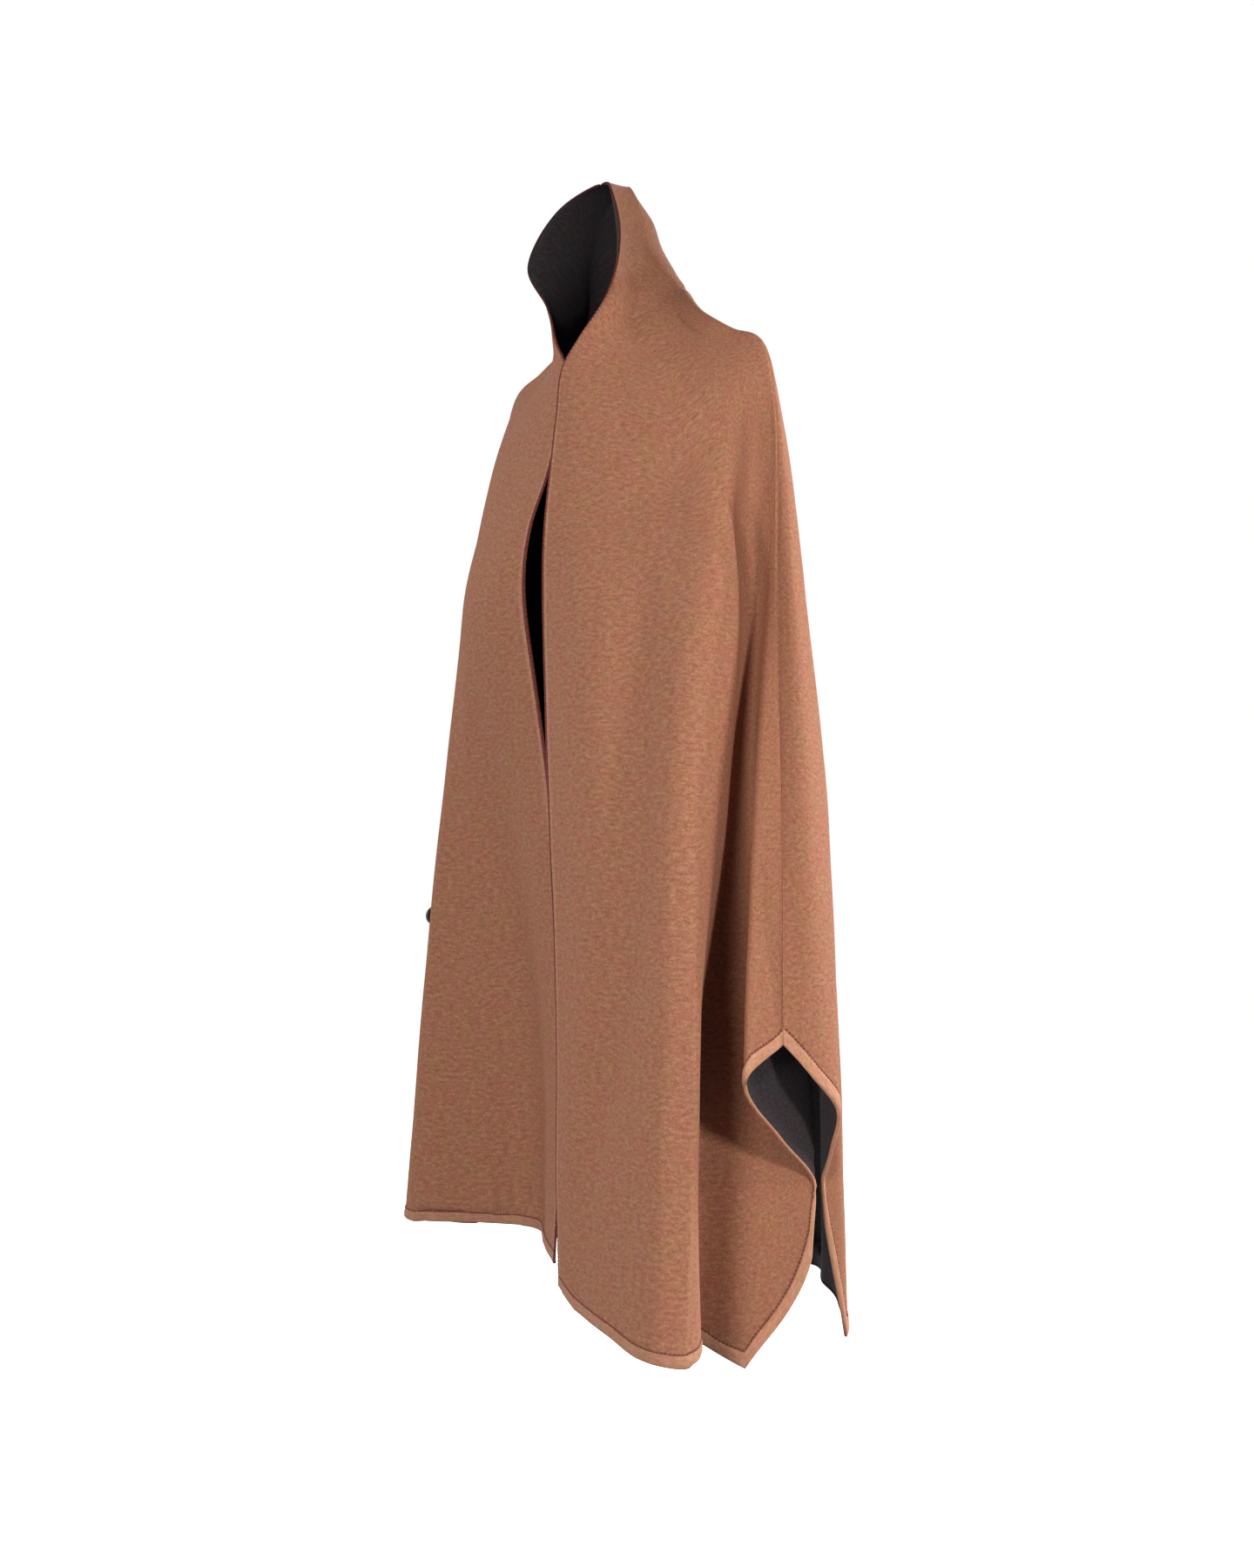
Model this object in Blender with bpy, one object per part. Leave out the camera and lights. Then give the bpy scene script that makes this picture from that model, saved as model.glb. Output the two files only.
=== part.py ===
"""Long open-front cape in double-face wool, filled out as it is worn.

Frame: metres, +Z up, the wearer faces -Y and the wearer's left is +X. The origin lies midway
between the two shoulder points, at their height, where the shoulders hold the cape up.

The cloth surface is one sheet that runs from the front edge round each side to the centre back.
Rings give its form over the hood and shoulders, and folds give its form where it hangs: each fold
line is followed down through four heights. A smooth surface goes through both, it is cut at the hem
and side edges, and it gets a wall of one cloth thickness.
"""
from collections import namedtuple

import bpy
import numpy as np

# Cloth and making
CLOTH = 0.0025
SEAM_GAP = 0.0003
BAND_WIDTH = 0.011
BAND_THICKNESS = 0.0010
LAY_GAP = 0.0003

# Heights of the four level cuts through the hanging folds
CHEST_Z = -0.25
WAIST_Z = -0.48
HIP_Z = -0.74
HEM_Z = -1.06

# Button, seen edge-on on the right front beside the arm
BUTTON_RADIUS = 0.011
BUTTON_THICKNESS = 0.0035
BUTTON_RIM = 0.0012
BUTTON_Z = -0.617
BUTTON_FOLD = "side of ridge"
BUTTON_SIDES = 24

# Mesh density. The body rows lie closer together near the neck by the row bias.
ROWS_PER_RING = 2
BODY_ROWS = 19
ROW_BIAS = 1.25
FINE_ROWS_PER_LEVEL = 12

# Limits: the most slanting edge that the band still follows, as a sine, how far the hood's inner
# face stays off the centre plane, as a share of its outer face, the sharpest fold that is shaded
# smooth, and the length below which two points count as one
LEAST_BAND_SINE = 0.4
LEAST_INNER_SHARE = 0.2
SMOOTH_ANGLE = np.radians(50)
TINY = 1e-6

# Half rings over the hood and shoulders, top down: the front edge of either half, the overarm seam
# side and the centre back. A flatness of 1 makes a quarter an ellipse and more makes it flatter,
# and the back quarter takes a little more than the front. The first ring runs along the centre seam
# over the top of the hood.
Ring = namedtuple("Ring", "name left_x left_y right_x right_y edge_z side_x side_y side_z "
                          "back_y back_z flatness")
RINGS = (
    Ring("crown", 0.000, -0.044, 0.000, -0.044, 0.203, 0.000, -0.008, 0.2055, 0.023, 0.180, 1.0),
    Ring("upper hood", 0.0495, -0.0665, 0.0495, -0.0665, 0.1775, 0.034, -0.018, 0.172, 0.027, 0.166, 1.2),
    Ring("wide hood", 0.081, -0.083, 0.081, -0.083, 0.118, 0.051, -0.022, 0.127, 0.037, 0.138, 1.2),
    Ring("lower hood", 0.0555, -0.0775, 0.0555, -0.0775, 0.071, 0.065, -0.010, 0.102, 0.0545, 0.112, 1.3),
    Ring("neck", 0.0204, -0.0914, 0.0204, -0.0914, 0.0237, 0.080, 0.000, 0.082, 0.066, 0.085, 1.3),
    Ring("upper yoke", 0.001, -0.100, -0.001, -0.0935, -0.010, 0.116, 0.000, 0.051, 0.081, 0.042, 1.3),
    Ring("yoke", 0.001, -0.108, -0.001, -0.101, -0.060, 0.167, 0.000, 0.023, 0.094, 0.000, 1.2),
    Ring("shoulder", 0.001, -0.117, 0.006, -0.114, -0.125, 0.210, 0.000, 0.004, 0.106, -0.050, 1.2),
    Ring("upper arm", 0.001, -0.125, 0.018, -0.130, -0.185, 0.232, 0.000, -0.063, 0.120, -0.130, 1.2),
)
NECK_RING = 4
BACK_FLATNESS_RATIO = 1.1

# Folds from the front edge to the overarm seam. turn is the share of the front quarter ring at
# which the fold line starts, and the x and y columns place it at each level cut, x outward. end_z
# is the height at which the cloth is cut there, by the hem or by the side edge.
Fold = namedtuple("Fold", "name turn chest_x chest_y waist_x waist_y hip_x hip_y hem_x hem_y end_z")
LEFT_FRONT = (
    Fold("front edge", 0.00, 0.0082, -0.1333, 0.0385, -0.1486, 0.0608, -0.1532, 0.0659, -0.1548, -0.989),
    Fold("panel inner", 0.17, 0.0764, -0.1423, 0.1100, -0.1645, 0.1234, -0.1719, 0.1138, -0.1756, -1.001),
    Fold("panel middle", 0.32, 0.1359, -0.1335, 0.1712, -0.1663, 0.1891, -0.1822, 0.1897, -0.2018, -1.005),
    Fold("panel outer", 0.46, 0.1969, -0.1211, 0.2324, -0.1657, 0.2571, -0.1915, 0.2708, -0.2218, -1.011),
    Fold("ridge", 0.57, 0.2433, -0.0943, 0.2764, -0.1498, 0.3104, -0.1792, 0.3240, -0.2100, -1.012),
    Fold("side of ridge", 0.63, 0.2435, -0.0800, 0.2660, -0.1180, 0.2740, -0.1450, 0.2850, -0.1500, -1.014),
    Fold("valley", 0.68, 0.2400, -0.0625, 0.2480, -0.0860, 0.2212, -0.0942, 0.2154, -0.1090, -1.016),
    Fold("corner", 0.73, 0.2286, -0.0434, 0.2251, -0.0523, 0.2380, -0.0560, 0.2590, -0.0690, -1.050),
    Fold("corner side", 0.77, 0.2240, -0.0317, 0.2289, -0.0400, 0.2640, -0.0120, 0.3000, 0.0020, -0.942),
    Fold("pleat turn", 0.81, 0.2250, -0.0228, 0.2421, -0.0366, 0.2720, 0.0051, 0.2980, -0.0020, -0.878),
    Fold("pleat inside", 0.85, 0.2292, -0.0193, 0.2605, -0.0504, 0.2890, -0.0560, 0.3060, -0.0600, -0.815),
    Fold("lap inside", 0.89, 0.2350, -0.0187, 0.2710, -0.0676, 0.3000, -0.1090, 0.3120, -0.1200, -0.757),
    Fold("lap outside", 0.93, 0.2422, -0.0194, 0.2810, -0.0715, 0.3125, -0.1165, 0.3250, -0.1280, -0.747),
    Fold("overarm seam", 1.00, 0.2537, -0.0181, 0.2991, -0.0573, 0.3180, -0.0720, 0.3300, -0.0800, -0.718),
)
RIGHT_FRONT = (
    Fold("front edge", 0.00, 0.0200, -0.1360, 0.0110, -0.1060, 0.0045, -0.0950, 0.0100, -0.1070, -0.985),
    Fold("panel inner", 0.17, 0.0850, -0.1370, 0.0800, -0.0970, 0.0700, -0.0660, 0.0850, -0.0560, -0.982),
    Fold("panel middle", 0.32, 0.1400, -0.1220, 0.1400, -0.0900, 0.1300, -0.0500, 0.1500, -0.0240, -0.982),
    Fold("panel outer", 0.46, 0.1830, -0.0990, 0.1980, -0.0910, 0.1990, -0.0710, 0.2060, -0.0530, -0.982),
    Fold("ridge", 0.57, 0.2150, -0.0750, 0.2480, -0.0840, 0.2690, -0.0970, 0.2800, -0.1050, -0.982),
    Fold("side of ridge", 0.63, 0.2340, -0.0580, 0.2640, -0.0660, 0.2950, -0.0770, 0.3310, -0.0850, -0.984),
    Fold("valley", 0.68, 0.2390, -0.0490, 0.2500, -0.0480, 0.2400, -0.0430, 0.2400, -0.0560, -0.984),
    Fold("corner", 0.73, 0.2410, -0.0430, 0.2480, -0.0370, 0.2450, -0.0220, 0.2650, -0.0220, -0.990),
    Fold("corner side", 0.77, 0.2425, -0.0380, 0.2520, -0.0290, 0.2600, -0.0020, 0.2950, 0.0080, -0.930),
    Fold("pleat turn", 0.81, 0.2450, -0.0330, 0.2580, -0.0190, 0.2740, 0.0180, 0.2980, 0.0300, -0.872),
    Fold("pleat inside", 0.85, 0.2480, -0.0280, 0.2670, -0.0310, 0.2890, -0.0180, 0.3060, -0.0150, -0.808),
    Fold("lap inside", 0.89, 0.2505, -0.0235, 0.2720, -0.0430, 0.2980, -0.0560, 0.3120, -0.0600, -0.750),
    Fold("lap outside", 0.93, 0.2530, -0.0190, 0.2810, -0.0440, 0.3100, -0.0620, 0.3250, -0.0660, -0.740),
    Fold("overarm seam", 1.00, 0.2560, -0.0120, 0.2880, -0.0220, 0.3180, -0.0260, 0.3300, -0.0320, -0.712),
)

# Folds from the overarm seam to the centre back. turn is the share of the back quarter ring.
LEFT_BACK = (
    Fold("lobe", 0.10, 0.2716, -0.0170, 0.3223, -0.0499, 0.3360, -0.0535, 0.3420, -0.0570, -0.746),
    Fold("lobe side", 0.18, 0.2640, 0.0080, 0.2990, 0.0080, 0.3330, -0.0100, 0.3400, -0.0100, -0.787),
    Fold("back pleat inside", 0.25, 0.2490, 0.0230, 0.2740, 0.0230, 0.3000, 0.0120, 0.3050, 0.0100, -0.835),
    Fold("back pleat turn", 0.32, 0.2390, 0.0340, 0.2590, 0.0320, 0.2710, 0.0277, 0.2720, 0.0300, -0.882),
    Fold("back corner", 0.40, 0.2255, 0.0455, 0.2550, 0.0460, 0.2730, 0.0490, 0.2730, 0.0640, -1.037),
    Fold("back ridge", 0.53, 0.1930, 0.0720, 0.2175, 0.0790, 0.2320, 0.0880, 0.2220, 0.1050, -1.016),
    Fold("back valley", 0.66, 0.1400, 0.1040, 0.1570, 0.1180, 0.1680, 0.1360, 0.1500, 0.1600, -1.008),
    Fold("back flute", 0.82, 0.0740, 0.1290, 0.0870, 0.1510, 0.0960, 0.1820, 0.1000, 0.1950, -1.010),
)
RIGHT_BACK = (
    Fold("lobe", 0.10, 0.2580, 0.0030, 0.3000, -0.0030, 0.3310, -0.0040, 0.3400, -0.0100, -0.740),
    Fold("lobe side", 0.18, 0.2540, 0.0190, 0.2920, 0.0260, 0.3260, 0.0360, 0.3350, 0.0400, -0.782),
    Fold("back pleat inside", 0.25, 0.2470, 0.0310, 0.2720, 0.0370, 0.3000, 0.0450, 0.3050, 0.0460, -0.830),
    Fold("back pleat turn", 0.32, 0.2370, 0.0410, 0.2580, 0.0470, 0.2700, 0.0530, 0.2720, 0.0560, -0.878),
    Fold("back corner", 0.40, 0.2230, 0.0540, 0.2500, 0.0640, 0.2680, 0.0800, 0.2740, 0.0940, -1.030),
    Fold("back ridge", 0.53, 0.1820, 0.0840, 0.2020, 0.0980, 0.2200, 0.1220, 0.2240, 0.1420, -1.016),
    Fold("back valley", 0.66, 0.1340, 0.1080, 0.1500, 0.1230, 0.1640, 0.1430, 0.1620, 0.1500, -1.012),
    Fold("back flute", 0.82, 0.0710, 0.1300, 0.0820, 0.1520, 0.0900, 0.1850, 0.0920, 0.1980, -1.010),
)
CENTRE_BACK = Fold("centre back", 1.00, 0.000, 0.1380, 0.000, 0.1600, 0.000, 0.1880, 0.000, 0.1900, -1.010)

# Surface columns between one fold and the next
FRONT_COLUMNS = (2, 2, 2, 3, 2, 2, 2, 2, 2, 2, 2, 2, 2)
BACK_COLUMNS = (2, 2, 2, 2, 2, 2, 2, 2, 2)

# Colour (linear RGBA) and roughness of each material
CAMEL = ("camel wool", (0.36, 0.155, 0.085, 1.0), 0.92)
BINDING = ("band wool", (0.50, 0.25, 0.15, 1.0), 0.90)
HORN = ("dark horn", (0.03, 0.015, 0.012, 1.0), 0.40)


def clear_scene():
    for thing in list(bpy.data.objects):
        bpy.data.objects.remove(thing, do_unlink=True)


def make_material(name, colour, roughness):
    material = bpy.data.materials.new(name)
    material.use_nodes = True
    shader = material.node_tree.nodes["Principled BSDF"]
    shader.inputs["Base Color"].default_value = colour
    shader.inputs["Roughness"].default_value = roughness
    shader.inputs["Metallic"].default_value = 0.0
    return material


def unit(vectors):
    lengths = np.linalg.norm(vectors, axis=-1, keepdims=True)
    return vectors / np.maximum(lengths, TINY)


def smooth_through(points, before, after, steps):
    """Centripetal Catmull-Rom curves along the first axis, with steps[k] parts in span k."""
    path = np.concatenate([before[None], points, after[None]])
    knots = np.sqrt(np.linalg.norm(np.diff(path, axis=0), axis=-1) + TINY)[..., None]
    lines = []
    for k, count in enumerate(steps):
        a, b, c, d = path[k], path[k + 1], path[k + 2], path[k + 3]
        ka, kb, kc = knots[k], knots[k + 1], knots[k + 2]
        slope_in = ((b - a) / ka - (c - a) / (ka + kb) + (c - b) / kb) * kb
        slope_out = ((c - b) / kb - (d - b) / (kb + kc) + (d - c) / kc) * kb
        for t in np.arange(count) / count:
            lines.append((2 * t**3 - 3 * t**2 + 1) * b + (t**3 - 2 * t**2 + t) * slope_in
                         + (3 * t**2 - 2 * t**3) * c + (t**3 - t**2) * slope_out)
    lines.append(path[-2])
    return np.array(lines)


def quarter_shares(ring, turn, flatness):
    """Shares gained and left along a quarter ring. The crown has no width, so it runs evenly."""
    if ring.side_x == 0:
        return turn, 1 - turn
    angle = turn * np.pi / 2
    return np.sin(angle)**flatness, np.cos(angle)**flatness


def front_quarter(ring, turn, side):
    """Point of a ring between the front edge and the overarm seam."""
    edge_x, edge_y = (ring.left_x, ring.left_y) if side > 0 else (ring.right_x, ring.right_y)
    gained, left = quarter_shares(ring, turn, ring.flatness)
    x = edge_x + (ring.side_x - edge_x) * gained
    y = ring.side_y + (edge_y - ring.side_y) * left
    z = ring.edge_z + (ring.side_z - ring.edge_z) * turn**2
    return x, y, z


def back_quarter(ring, turn):
    """Point of a ring between the overarm seam and the centre back, the same on either side."""
    gained, left = quarter_shares(ring, turn, ring.flatness * BACK_FLATNESS_RATIO)
    x = ring.side_x * left
    y = ring.side_y + (ring.back_y - ring.side_y) * gained
    z = ring.back_z + (ring.side_z - ring.back_z) * (1 - turn)**2
    return x, y, z


def fold_line(fold, start):
    """The points that one fold line passes through, below its points on the rings."""
    line = list(start)
    line += [(fold.chest_x, fold.chest_y, CHEST_Z), (fold.waist_x, fold.waist_y, WAIST_Z),
             (fold.hip_x, fold.hip_y, HIP_Z), (fold.hem_x, fold.hem_y, HEM_Z)]
    return line


def control_net(front, back, side):
    """All fold lines of one half: array of level, fold, xyz."""
    lines = [fold_line(fold, [front_quarter(ring, fold.turn, side) for ring in RINGS]) for fold in front]
    lines += [fold_line(fold, [back_quarter(ring, fold.turn) for ring in RINGS]) for fold in back]
    return np.array(lines).transpose(1, 0, 2)


def mirrored(points):
    return points * np.array((-1.0, 1.0, 1.0))


def fine_surface(net, rows_per_level):
    """Smooth surface through the net, cut into columns but still in even rows per level."""
    down = smooth_through(net, mirrored(net[1]), 2 * net[-1] - net[-2], rows_per_level)
    across = down.transpose(1, 0, 2)
    columns = smooth_through(across, 2 * across[0] - across[1], mirrored(across[-2]),
                             FRONT_COLUMNS + BACK_COLUMNS)
    return columns.transpose(1, 0, 2)


def end_heights(front, back):
    """Height of the cut edge at each column."""
    ends = [fold.end_z for fold in front + back]
    heights = []
    for k, count in enumerate(FRONT_COLUMNS + BACK_COLUMNS):
        heights += [ends[k] + (ends[k + 1] - ends[k]) * i / count for i in range(count)]
    return np.array(heights + [ends[-1]])


def cut_column(column, end_z):
    """Keep one column above its end height."""
    below = int(np.argmax(column[:, 2] < end_z))
    upper, lower = column[below - 1], column[below]
    share = (upper[2] - end_z) / (upper[2] - lower[2])
    return np.vstack([column[:below], upper + (lower - upper) * share])


def band_lengths(columns):
    """Distance up each column from the cut edge to the band's inner line."""
    ends = np.array([column[-1] for column in columns])
    down = unit(np.array([column[-1] - column[-2] for column in columns]))
    along = unit(np.diff(ends, axis=0))
    sines_after = np.linalg.norm(np.cross(down[:-1], along), axis=-1)
    sines_before = np.linalg.norm(np.cross(down[1:], along), axis=-1)
    sines = np.minimum(np.append(sines_after, 1.0), np.insert(sines_before, 0, 1.0))
    return BAND_WIDTH / np.maximum(sines, LEAST_BAND_SINE)


def spread_rows(column, band_length):
    """Place the body rows along a column, the last two on either side of the band."""
    lengths = np.insert(np.cumsum(np.linalg.norm(np.diff(column, axis=0), axis=-1)), 0, 0.0)
    shares = (np.arange(BODY_ROWS) / (BODY_ROWS - 1))**ROW_BIAS
    places = np.append(shares * (lengths[-1] - band_length), lengths[-1])
    return np.stack([np.interp(places, lengths, column[:, axis]) for axis in range(3)], axis=1)


def surface_normals(points):
    """Outward unit normals of a grid of surface points whose columns run round to the left."""
    down = np.diff(points, axis=0)
    across = np.diff(points, axis=1)
    cell = unit(np.cross(down[:, :-1] + down[:, 1:], across[:-1] + across[1:]))
    total = np.zeros_like(points)
    total[:-1, :-1] += cell
    total[1:, :-1] += cell
    total[:-1, 1:] += cell
    total[1:, 1:] += cell
    return unit(total)


def half_shell(front, back, side):
    """Surface points and normals of one half, hood rows first, and its neck row number."""
    rows_per_level = (ROWS_PER_RING,) * NECK_RING
    rows_per_level += (FINE_ROWS_PER_LEVEL,) * (len(RINGS) + 3 - NECK_RING)
    surface = fine_surface(control_net(front, back, side), rows_per_level)
    neck_row = ROWS_PER_RING * NECK_RING
    ends = end_heights(front, back)
    columns = [cut_column(surface[neck_row:, i], ends[i]) for i in range(surface.shape[1])]
    bands = band_lengths(columns)
    body = np.stack([spread_rows(column, band) for column, band in zip(columns, bands)], axis=1)
    points = np.concatenate([surface[:neck_row], body])
    points[..., 0] = np.where(np.abs(points[..., 0]) < TINY, 0.0, points[..., 0])
    normals = surface_normals(points)
    on_centre = points[..., 0] == 0.0
    normals[on_centre, 0] = 0.0
    return points, unit(normals), neck_row


def pull_in(points, from_index, to_index):
    """Move a line of seam points towards their neighbours by half a seam gap."""
    here, inside = points[from_index], points[to_index]
    points[from_index] = here + unit(inside - here) * SEAM_GAP / 2


def add_wall(name, outer, inner, cells, material, side=1):
    """Closed wall between two point grids over the cells (row, column) that the piece covers.

    A rim face is split from its upper outer point, so that two rims along a seam stay parallel.
    """
    number = {}
    for row, column in sorted(cells):
        for corner in ((row, column), (row + 1, column), (row, column + 1), (row + 1, column + 1)):
            number.setdefault(corner, len(number))
    offset = len(number)
    spots = list(number)
    vertices = [tuple(outer[spot]) for spot in spots] + [tuple(inner[spot]) for spot in spots]
    faces = []
    edges = {}
    for row, column in sorted(cells):
        a, b = number[row, column], number[row + 1, column]
        c, d = number[row + 1, column + 1], number[row, column + 1]
        faces += [(a, b, d), (b, c, d)]
        faces += [(a + offset, d + offset, b + offset), (b + offset, d + offset, c + offset)]
        for edge in ((a, b), (b, c), (c, d), (d, a)):
            if edge[::-1] in edges:
                del edges[edge[::-1]]
            else:
                edges[edge] = True
    for start, end in edges:
        if start < end:
            faces += [(end, start, end + offset), (start, start + offset, end + offset)]
        else:
            faces += [(end, start, start + offset), (end, start + offset, end + offset)]
    return add_object(name, vertices, [face[::side] for face in faces], material)


def add_object(name, vertices, faces, material):
    mesh = bpy.data.meshes.new(name)
    mesh.from_pydata(vertices, [], faces)
    mesh.materials.append(material)
    mesh.shade_smooth()
    mesh.set_sharp_from_angle(angle=SMOOTH_ANGLE)
    mesh.update()
    thing = bpy.data.objects.new(name, mesh)
    bpy.context.scene.collection.objects.link(thing)
    return thing


def handed(points, side):
    """Put a half on the wearer's left (side 1) or mirror it to the right (side -1)."""
    return points * np.array((side, 1.0, 1.0))


def add_front(name, shell, side, material):
    points, normals, neck_row = shell
    seam = sum(FRONT_COLUMNS)
    rows, count = points.shape[:2]
    outer = points.copy()
    pull_in(outer, (slice(neck_row, None), seam), (slice(neck_row, None), seam - 1))
    pull_in(outer, (neck_row, slice(seam, None)), (neck_row - 1, slice(seam, None)))
    outer[..., 0] = np.where(outer[..., 0] == 0.0, SEAM_GAP / 2, outer[..., 0])
    inner = outer - normals * CLOTH
    hood = slice(0, neck_row + 1)
    least_x = SEAM_GAP / 2 + outer[hood, :, 0] * LEAST_INNER_SHARE
    inner[hood, :, 0] = np.maximum(inner[hood, :, 0], least_x)
    cells = [(row, column) for row in range(neck_row) for column in range(count - 1)]
    cells += [(row, column) for row in range(neck_row, rows - 1) for column in range(seam)]
    return add_wall(name, handed(outer, side), handed(inner, side), cells, material, side)


def whole_back(left_shell, right_shell):
    """Outer points and normals of the back panel, left seam to centre to right seam."""
    seam = sum(FRONT_COLUMNS)
    grids = []
    for (points, normals, neck_row), side in ((left_shell, 1), (right_shell, -1)):
        grids.append(handed(points[neck_row:, seam:], side))
        grids.append(handed(normals[neck_row:, seam:], side))
    left_points, left_normals, right_points, right_normals = grids
    points = np.concatenate([left_points, right_points[:, -2::-1]], axis=1)
    normals = np.concatenate([left_normals, right_normals[:, -2::-1]], axis=1)
    pull_in(points, (slice(None), 0), (slice(None), 1))
    pull_in(points, (slice(None), -1), (slice(None), -2))
    pull_in(points, (0, slice(None)), (1, slice(None)))
    return points, normals


def add_band(name, points, normals, material, side=1):
    """Band along the last row of a panel, lying on the panel's outer face."""
    edge = points[-2:]
    out = normals[-2:]
    bottom = edge + out * LAY_GAP
    top = edge + out * (LAY_GAP + BAND_THICKNESS)
    cells = [(0, column) for column in range(points.shape[1] - 1)]
    return add_wall(name, handed(top, side), handed(bottom, side), cells, material, side)


def add_front_band(name, shell, side, material):
    points, normals, neck_row = shell
    seam = sum(FRONT_COLUMNS)
    outer = points[:, :seam + 1].copy()
    pull_in(outer, (slice(neck_row, None), seam), (slice(neck_row, None), seam - 1))
    return add_band(name, outer, normals[:, :seam + 1], material, side)


def button_seat(shell, front, side):
    """Point and outward direction on a front at the button's fold and height."""
    points, normals, neck_row = shell
    fold = [item.name for item in front].index(BUTTON_FOLD)
    column = sum(FRONT_COLUMNS[:fold])
    heights = points[neck_row:, column, 2]
    row = neck_row + int(np.argmax(heights < BUTTON_Z))
    upper, lower = points[row - 1, column], points[row, column]
    share = (upper[2] - BUTTON_Z) / (upper[2] - lower[2])
    seat = upper + (lower - upper) * share
    out = unit(normals[row - 1, column] + (normals[row, column] - normals[row - 1, column]) * share)
    return handed(seat, side), handed(out, side)


def add_button(name, seat, out, material):
    """Round button with a raised rim, turned about its own axis."""
    profile = ((BUTTON_RADIUS - BUTTON_RIM, 0.0), (BUTTON_RADIUS, BUTTON_RIM),
               (BUTTON_RADIUS, BUTTON_THICKNESS - BUTTON_RIM),
               (BUTTON_RADIUS - BUTTON_RIM, BUTTON_THICKNESS),
               (BUTTON_RADIUS - 2 * BUTTON_RIM, BUTTON_THICKNESS - BUTTON_RIM / 2))
    across = unit(np.cross(out, (0.0, 0.0, 1.0)))
    up = np.cross(across, out)
    base = seat + out * LAY_GAP
    vertices = []
    for radius, height in profile:
        for angle in np.arange(BUTTON_SIDES) * 2 * np.pi / BUTTON_SIDES:
            vertices.append(base + (across * np.cos(angle) + up * np.sin(angle)) * radius + out * height)
    faces = []
    for ring in range(len(profile) - 1):
        for i in range(BUTTON_SIDES):
            j = (i + 1) % BUTTON_SIDES
            low, high = ring * BUTTON_SIDES, (ring + 1) * BUTTON_SIDES
            faces.append((low + i, high + i, high + j, low + j))
    faces.append(tuple(range(BUTTON_SIDES)))
    last = (len(profile) - 1) * BUTTON_SIDES
    faces.append(tuple(last + i for i in reversed(range(BUTTON_SIDES))))
    return add_object(name, [tuple(v) for v in vertices], faces, material)


def build():
    clear_scene()
    camel = make_material(*CAMEL)
    binding = make_material(*BINDING)
    horn = make_material(*HORN)
    left_shell = half_shell(LEFT_FRONT, LEFT_BACK + (CENTRE_BACK,), 1)
    right_shell = half_shell(RIGHT_FRONT, RIGHT_BACK + (CENTRE_BACK,), -1)
    add_front("left_front", left_shell, 1, camel)
    add_front("right_front", right_shell, -1, camel)
    back_points, back_normals = whole_back(left_shell, right_shell)
    back_cells = [(row, column) for row in range(back_points.shape[0] - 1)
                  for column in range(back_points.shape[1] - 1)]
    add_wall("back", back_points, back_points - back_normals * CLOTH, back_cells, camel)
    add_front_band("left_front_band", left_shell, 1, binding)
    add_front_band("right_front_band", right_shell, -1, binding)
    add_band("back_band", back_points, back_normals, binding)
    seat, out = button_seat(right_shell, RIGHT_FRONT, -1)
    add_button("button", seat, out, horn)


build()
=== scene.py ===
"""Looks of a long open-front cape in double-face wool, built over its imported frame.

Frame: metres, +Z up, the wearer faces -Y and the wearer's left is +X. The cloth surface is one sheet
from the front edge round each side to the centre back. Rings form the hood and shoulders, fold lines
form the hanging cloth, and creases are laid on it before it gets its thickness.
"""
from collections import namedtuple

import bpy
import numpy as np
from mathutils import Euler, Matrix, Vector, noise


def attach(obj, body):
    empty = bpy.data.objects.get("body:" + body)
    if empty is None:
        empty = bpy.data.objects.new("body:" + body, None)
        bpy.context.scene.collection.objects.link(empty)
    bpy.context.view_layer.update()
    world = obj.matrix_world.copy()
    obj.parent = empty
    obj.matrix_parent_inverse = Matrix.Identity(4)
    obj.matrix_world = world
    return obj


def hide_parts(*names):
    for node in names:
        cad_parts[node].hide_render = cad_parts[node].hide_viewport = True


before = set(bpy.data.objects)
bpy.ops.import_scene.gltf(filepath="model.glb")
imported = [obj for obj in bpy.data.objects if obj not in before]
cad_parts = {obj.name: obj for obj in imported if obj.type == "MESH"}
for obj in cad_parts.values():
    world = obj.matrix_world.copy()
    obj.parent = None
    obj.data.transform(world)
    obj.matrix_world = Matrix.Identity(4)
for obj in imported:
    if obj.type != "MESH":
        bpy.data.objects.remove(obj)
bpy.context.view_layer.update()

# Cloth thickness, and the gap between pieces at a seam
CLOTH = 0.0024
SEAM_GAP = 0.0003

# Hollow along a seam, the low shoulders beside it, and where the hood's hollow fades out at the rear
# end of the crown
SEAM_DEPTH = 0.0015
SEAM_HALF_WIDTH = 0.003
SEAM_SHOULDER = 0.0004
SHOULDER_PLACE = 3 * SEAM_HALF_WIDTH
SHOULDER_WIDTH = 1.5 * SEAM_HALF_WIDTH
CROWN_END_FADE = 0.016

# Heights of the four level cuts through the hanging folds
CHEST_Z = -0.25
WAIST_Z = -0.48
HIP_Z = -0.74
HEM_Z = -1.06
BODY_CUTS = 4

# Button on the right front
BUTTON_RADIUS = 0.011
BUTTON_THICKNESS = 0.0035
BUTTON_Z = -0.617
BUTTON_FOLD = 5

# Camera
VIEW_TURN = np.radians(50)
VIEW_DISTANCE = 2.37
VIEW_HEIGHT = -0.462
VIEW_SIDE = -0.005
FOCAL_PIXELS = 2428.0
PICTURE_HEIGHT = 1800.0
SENSOR = 36.0

FLOOR_Z = -1.45

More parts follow.
